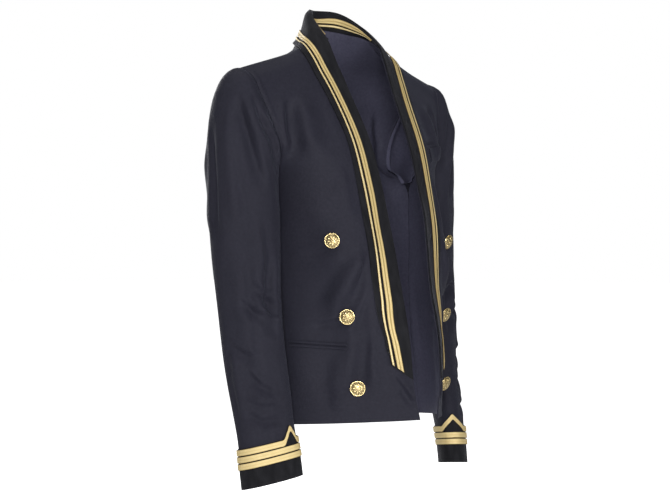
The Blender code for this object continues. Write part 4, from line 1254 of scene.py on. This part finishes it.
def lace_piece(node, net, centre, rib, closed=False, inward=False, column_cell=0.0004):
    """A lace strip whose columns run across it, with its ribs standing up."""
    row_cell = 0.0016
    if closed:
        grid = finer_round(net, column_cell, row_cell)
    else:
        grid = finer(net, row_cell, column_cell)
    out = out_of(grid, centre, inward=inward, closed=closed)
    axis = 0 if closed else 1
    share = lengths_along(grid, axis)
    # raised is the colour mask: painted highlight on the ribs, painted shade in the grooves and at
    # the edges
    height, raised = rib(share / np.take(share, [-1], axis=axis))
    dress(
        node, "woven", grid + out * height[..., None], out, LACE, gold_lace, "gold_lace",
        closed=closed, rim=0.25, raised=raised,
    )


# %% Lace on the leaves
for side in ("right", "left"):
    for width, rib, start, across in (
        ("wide", double_rib, (0.001, 0.0651, 0.0221), (0.001, 0.0684, 0.0141)),
        ("narrow", single_rib, (0.001, 0.0698, 0.0118), (0.001, 0.0717, 0.0094)),
    ):
        node = f"lace_{width}_{side}"
        net = read_net(node, LACE, sided(start, side), sided(across, side))
        lace_piece(node, net, BODY_AXIS, rib)

# %% [markdown]
# ## Inside the neck
#
# The leaf's own velvet turns down inside the back neck as a shaped band, finished with the same
# two laces in the opposite order, so that they show when the coat is open.

# %% Neck band and its lace



def lengthwise(net):
    """The net turned so that its rows follow each other along the strip."""
    return net if net.shape[0] > net.shape[1] else net.transpose(1, 0, 2)


net = read_net("neck_band", VELVET, (-0.053, -0.030, 0.003), (-0.052, -0.029, 0.002), inward=True)
net = lengthwise(net)
grid = finer(net, 0.0030, 0.0016)
out = out_of(grid, BODY_AXIS, inward=True)
dress("neck_band", "velvet", grid, out, VELVET, black_velvet, "black_velvet")
for width, rib in (("wide", double_rib), ("narrow", single_rib)):
    node = "neck_lace_" + width
    net = lengthwise(net_of(node, wall_of(LACE), BODY_AXIS, inward=True))
    deeper = 0.0016 * smooth_step((-0.034 - net[..., :1]) / 0.010) * unit(net - BODY_AXIS)
    lace_piece(node, net + deeper, BODY_AXIS, rib, inward=True)

# %% [markdown]
# ## The cuffs
#
# Each sleeve ends in a deep band of velvet with three rings of gold lace. The top ring is carried
# up to a point over the outside of the wrist, and the velvet shows as a dark triangle under it.

# %% Cuffs and rings
CUFF_VELVET = 0.0010
for side in ("right", "left"):
    node = "cuff_" + side
    middle = node_middle(node)
    net = laid_round(net_of(node, wall_of(CUFF_VELVET), middle, closed=True), middle)
    grid = finer_round(net, 0.0022, 0.0026)
    out = out_of(grid, middle, closed=True)
    height = 0.0003 * slow_noise(grid.reshape(-1, 3), 0.020, 41.0).reshape(grid.shape[:2])
    dress(
        node, "velvet", grid + out * height[..., None], out, CUFF_VELVET, black_velvet,
        "black_velvet", closed=True, rim=0.4,
    )
    for place in ("low", "middle", "top"):
        node = f"cuff_lace_{place}_{side}"
        net = laid_round(net_of(node, wall_of(LACE), middle, closed=True), middle)
        lace_piece(node, net, node_middle(node), flat_rib, closed=True, column_cell=0.0005)

# %% [markdown]
# ## Pockets
#
# The hip pocket is jetted: two narrow folded strips meet at the slit. The chest pocket, on the
# wearer's left only, has a single standing welt. These strips lie on the front, so each place of
# theirs is carried along by the crease of the front that lies under it.

# %% Carry a strip on its panel


def panel_reader(node):
    """A way to look up how a panel's cloth was moved near a place, and where it faces."""
    grid, out, height = fine_nets[node]
    points = grid.reshape(-1, 3)
    tree = kdtree.KDTree(len(points))
    for number, point in enumerate(points):
        tree.insert(point, number)
    tree.balance()
    move = (out * height[..., None]).reshape(-1, 3)
    facing = out.reshape(-1, 3)

    def read(place):
        number = tree.find(Vector(place))[1]
        return move[number], facing[number]

    return read


read_panel = {side: panel_reader("front_" + side) for side in ("right", "left")}


def carried(grid, side):
    moves = [read_panel[side](place)[0] for place in grid.reshape(-1, 3)]
    return grid + np.array(moves).reshape(grid.shape)


# %% Jets and welt
JET_WALL, WELT_WALL = (0.0008, 0.0021), (0.0011, 0.0021)
JET_WOOL, WELT_WOOL = 0.0010, 0.0016
JET_TRIM = 5  # columns left off at the side seam, where the strips are sewn in
for side in ("right", "left"):
    for place in ("upper", "lower"):
        node = f"jet_{place}_{side}"
        net = lengthwise(net_of(node, JET_WALL, BODY_AXIS)).transpose(1, 0, 2)
        grid = finer(net, 0.0006, 0.0020)
        inner_end = np.abs(grid[0, 0, 0]) < np.abs(grid[0, -1, 0])
        grid = carried(grid[:, :-JET_TRIM] if inner_end else grid[:, JET_TRIM:], side)
        out = out_of(grid, BODY_AXIS)
        share = np.linspace(0.0, 1.0, len(grid))[:, None, None]
        grid = grid + out * 0.0004 * np.sin(np.pi * share)
        dress(node, "wool", grid, out, JET_WOOL, navy_wool, "navy_wool", rim=0.4)
net = lengthwise(net_of("chest_welt", WELT_WALL, BODY_AXIS)).transpose(1, 0, 2)
grid = carried(finer(net, 0.0012, 0.0024), "left")
out = out_of(grid, BODY_AXIS)
dress("chest_welt", "wool", grid, out, WELT_WOOL, navy_wool, "navy_wool", rim=0.4)
print("pocket strips:", sum(name.startswith(("jet", "chest")) for name in pieces))

# %% [markdown]
# ## The buttons
#
# A stamped button is a domed disc on a shank, with a rolled rim and raised work on a stippled
# ground. One is modelled in the middle of the scene: a disc is extruded and inset ring by ring,
# a bead is copied round it for the rope edge, and petals round a boss make a plain rosette. The
# six on the coat are copies with meshes of their own, each laid where its solid stands and
# turned the way that it faces, for the left ones tip on their shanks.

# %% Turned body of a button
RIM_START = 0.0094
BUTTON_SHAPE = (
    # radius, height above the cloth
    (0.0028, 0.0006), (0.0024, 0.0026), (0.0090, 0.0028), (0.0108, 0.0034), (0.0112, 0.0041),
    (0.0109, 0.0047), (0.0101, 0.0049), (0.0096, 0.0047), (0.0089, 0.0053), (0.0072, 0.0063),
    (0.0050, 0.0070), (0.0026, 0.0074), (0.0010, 0.0075),
)
bpy.ops.object.select_all(action="DESELECT")
bpy.ops.mesh.primitive_circle_add(
    vertices=48, radius=BUTTON_SHAPE[0][0], fill_type="NGON", location=(0.0, 0.0, BUTTON_SHAPE[0][1])
)
button = bpy.context.object
button.name = "button_body"
bpy.ops.object.mode_set(mode="EDIT")
bpy.ops.mesh.select_all(action="SELECT")
for (radius, height), (wider, higher) in zip(BUTTON_SHAPE, BUTTON_SHAPE[1:]):
    bpy.ops.mesh.extrude_region_move(TRANSFORM_OT_translate={"value": (0.0, 0.0, higher - height)})
    bpy.ops.transform.resize(value=(wider / radius, wider / radius, 1.0))
bpy.ops.mesh.select_all(action="SELECT")
bpy.ops.mesh.normals_make_consistent(inside=False)
bpy.ops.object.mode_set(mode="OBJECT")
bpy.ops.object.transform_apply(location=True, rotation=True, scale=True)
print("button body:", len(button.data.polygons), "faces")


# %% Beads, petals and boss
def small_ball(name, size, place, turn=0.0, detail=2):
    """A ball stretched to a size, laid down at a place and turned about the upright."""
    bpy.ops.object.select_all(action="DESELECT")
    bpy.ops.mesh.primitive_ico_sphere_add(subdivisions=detail, radius=1.0, location=(0.0, 0.0, 0.0))
    ball = bpy.context.object
    ball.name = name
    ball.scale = size
    ball.rotation_euler = (0.0, 0.0, turn)
    ball.location = place
    bpy.ops.object.transform_apply(location=True, rotation=True, scale=True)
    return ball


def copied_round(piece, count, offset=0.0):
    """Copies of a piece turned in equal steps round the button, with the piece itself."""
    copies = []
    for step in range(count):
        copy = piece.copy()
        copy.data = piece.data.copy()
        copy.data.transform(Matrix.Rotation(offset + 2 * math.pi * step / count, 4, "Z"))
        bpy.context.scene.collection.objects.link(copy)
        copies.append(copy)
    bpy.data.objects.remove(piece)
    return copies


parts = []
bead = small_ball("bead", (0.00046, 0.00088, 0.00040), (0.01035, 0.0, 0.00475), math.radians(35.0), 1)
parts += copied_round(bead, 44)
petal = small_ball("petal", (0.0026, 0.00125, 0.00075), (0.0052, 0.0, 0.0067), 0.0)
parts += copied_round(petal, 8)
leaf = small_ball("leaf", (0.0014, 0.00055, 0.00050), (0.0076, 0.0, 0.0060), 0.0)
parts += copied_round(leaf, 8, math.radians(22.5))
parts.append(small_ball("boss", (0.0017, 0.0017, 0.0010), (0.0, 0.0, 0.0074)))
for step in range(24):
    angle = 2 * math.pi * step / 24
    parts.append(small_ball(
        "grain", (0.00035, 0.00035, 0.00030),
        (0.0089 * math.cos(angle), 0.0089 * math.sin(angle), 0.00525), 0.0, 1,
    ))
mark_raised(
    button.data,
    [1.0 if math.hypot(v.co.x, v.co.y) > RIM_START else 0.15 for v in button.data.vertices],
)
select_only(button)
for part in parts:
    mark_raised(part.data, [1.0] * len(part.data.vertices))
    part.select_set(True)
bpy.ops.object.join()
bpy.ops.object.shade_smooth_by_angle(angle=math.radians(40.0))
button.data.materials.clear()
button.data.materials.append(gilt_brass)
print("button:", len(button.data.polygons), "faces")

# %% Six buttons on their fronts
SHANK_FOOT = 0.0004


def button_stand(node, facing):
    """Where a button's solid stands and the way it faces, which is where it is thinnest."""
    places = merged_copy(node)[0]
    middle = places.mean(axis=0)
    axis = np.linalg.svd(places - middle, full_matrices=False)[2][-1]
    axis = axis if axis @ np.array(facing) > 0 else -axis
    return middle + axis * (((places - middle) @ axis).min() - SHANK_FOOT), axis


BUTTON_TURNS = {"top": 12.0, "middle": -25.0, "low": 38.0}
for side in ("right", "left"):
    for place, turn in BUTTON_TURNS.items():
        node = f"button_{place}_{side}"
        move, facing = read_panel[side](node_middle(node))
        foot, axis = (Vector(value) for value in button_stand(node, facing))
        level = Vector((0.0, 0.0, 1.0)).cross(axis).normalized()
        upright = axis.cross(level)
        turned = Matrix((level, upright, axis)).transposed().to_4x4()
        copy = button.copy()
        copy.data = button.data.copy()
        copy.name = node + "_gilt"
        copy.data.transform(Matrix.Rotation(math.radians(turn), 4, "Z"))
        copy.data.transform(Matrix.Translation(foot + Vector(move)) @ turned)
        bpy.context.scene.collection.objects.link(copy)
        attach(copy, "root")
        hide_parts(node)
bpy.data.objects.remove(button)
print("buttons placed")

# %% [markdown]
# ## The cut of each piece
#
# A tailor thinks of these pieces flat. For each larger sheet the size it was cut to before it
# was sewn and filled out is printed: its width and length along the cloth, and its true area
# where the outline is no rectangle. Lace, jets and welt are narrow pieces sewn on a larger one,
# and are left out.

HELD = {
    "front_right": ("hung", ["back_cloth"]),
    "front_left": ("hung", ["back_cloth"]),
    "back": ("hung", ["front_right_cloth", "front_left_cloth"]),
    "sleeve_top_right": ("hung", ["front_right_cloth", "back_cloth"]),
    "sleeve_under_right": ("hung", ["front_right_cloth", "back_cloth"]),
    "sleeve_top_left": ("hung", ["front_left_cloth", "back_cloth"]),
    "sleeve_under_left": ("hung", ["front_left_cloth", "back_cloth"]),
    "shawl_right": ("folded", ["front_right_cloth", "back_cloth"]),
    "shawl_left": ("folded", ["front_left_cloth", "back_cloth"]),
    "neck_band": ("laid", ["shawl_right_velvet", "shawl_left_velvet"]),
    "cuff_right": ("laid", ["sleeve_top_right_cloth", "sleeve_under_right_cloth"]),
    "cuff_left": ("laid", ["sleeve_top_left_cloth", "sleeve_under_left_cloth"]),
}
for node, (held, rests_on) in HELD.items():
    width, length, area = cuts[node]
    print(f"{node}: cut {width * 1000:.0f} by {length * 1000:.0f} mm, {area * 1e4:.0f} square cm")
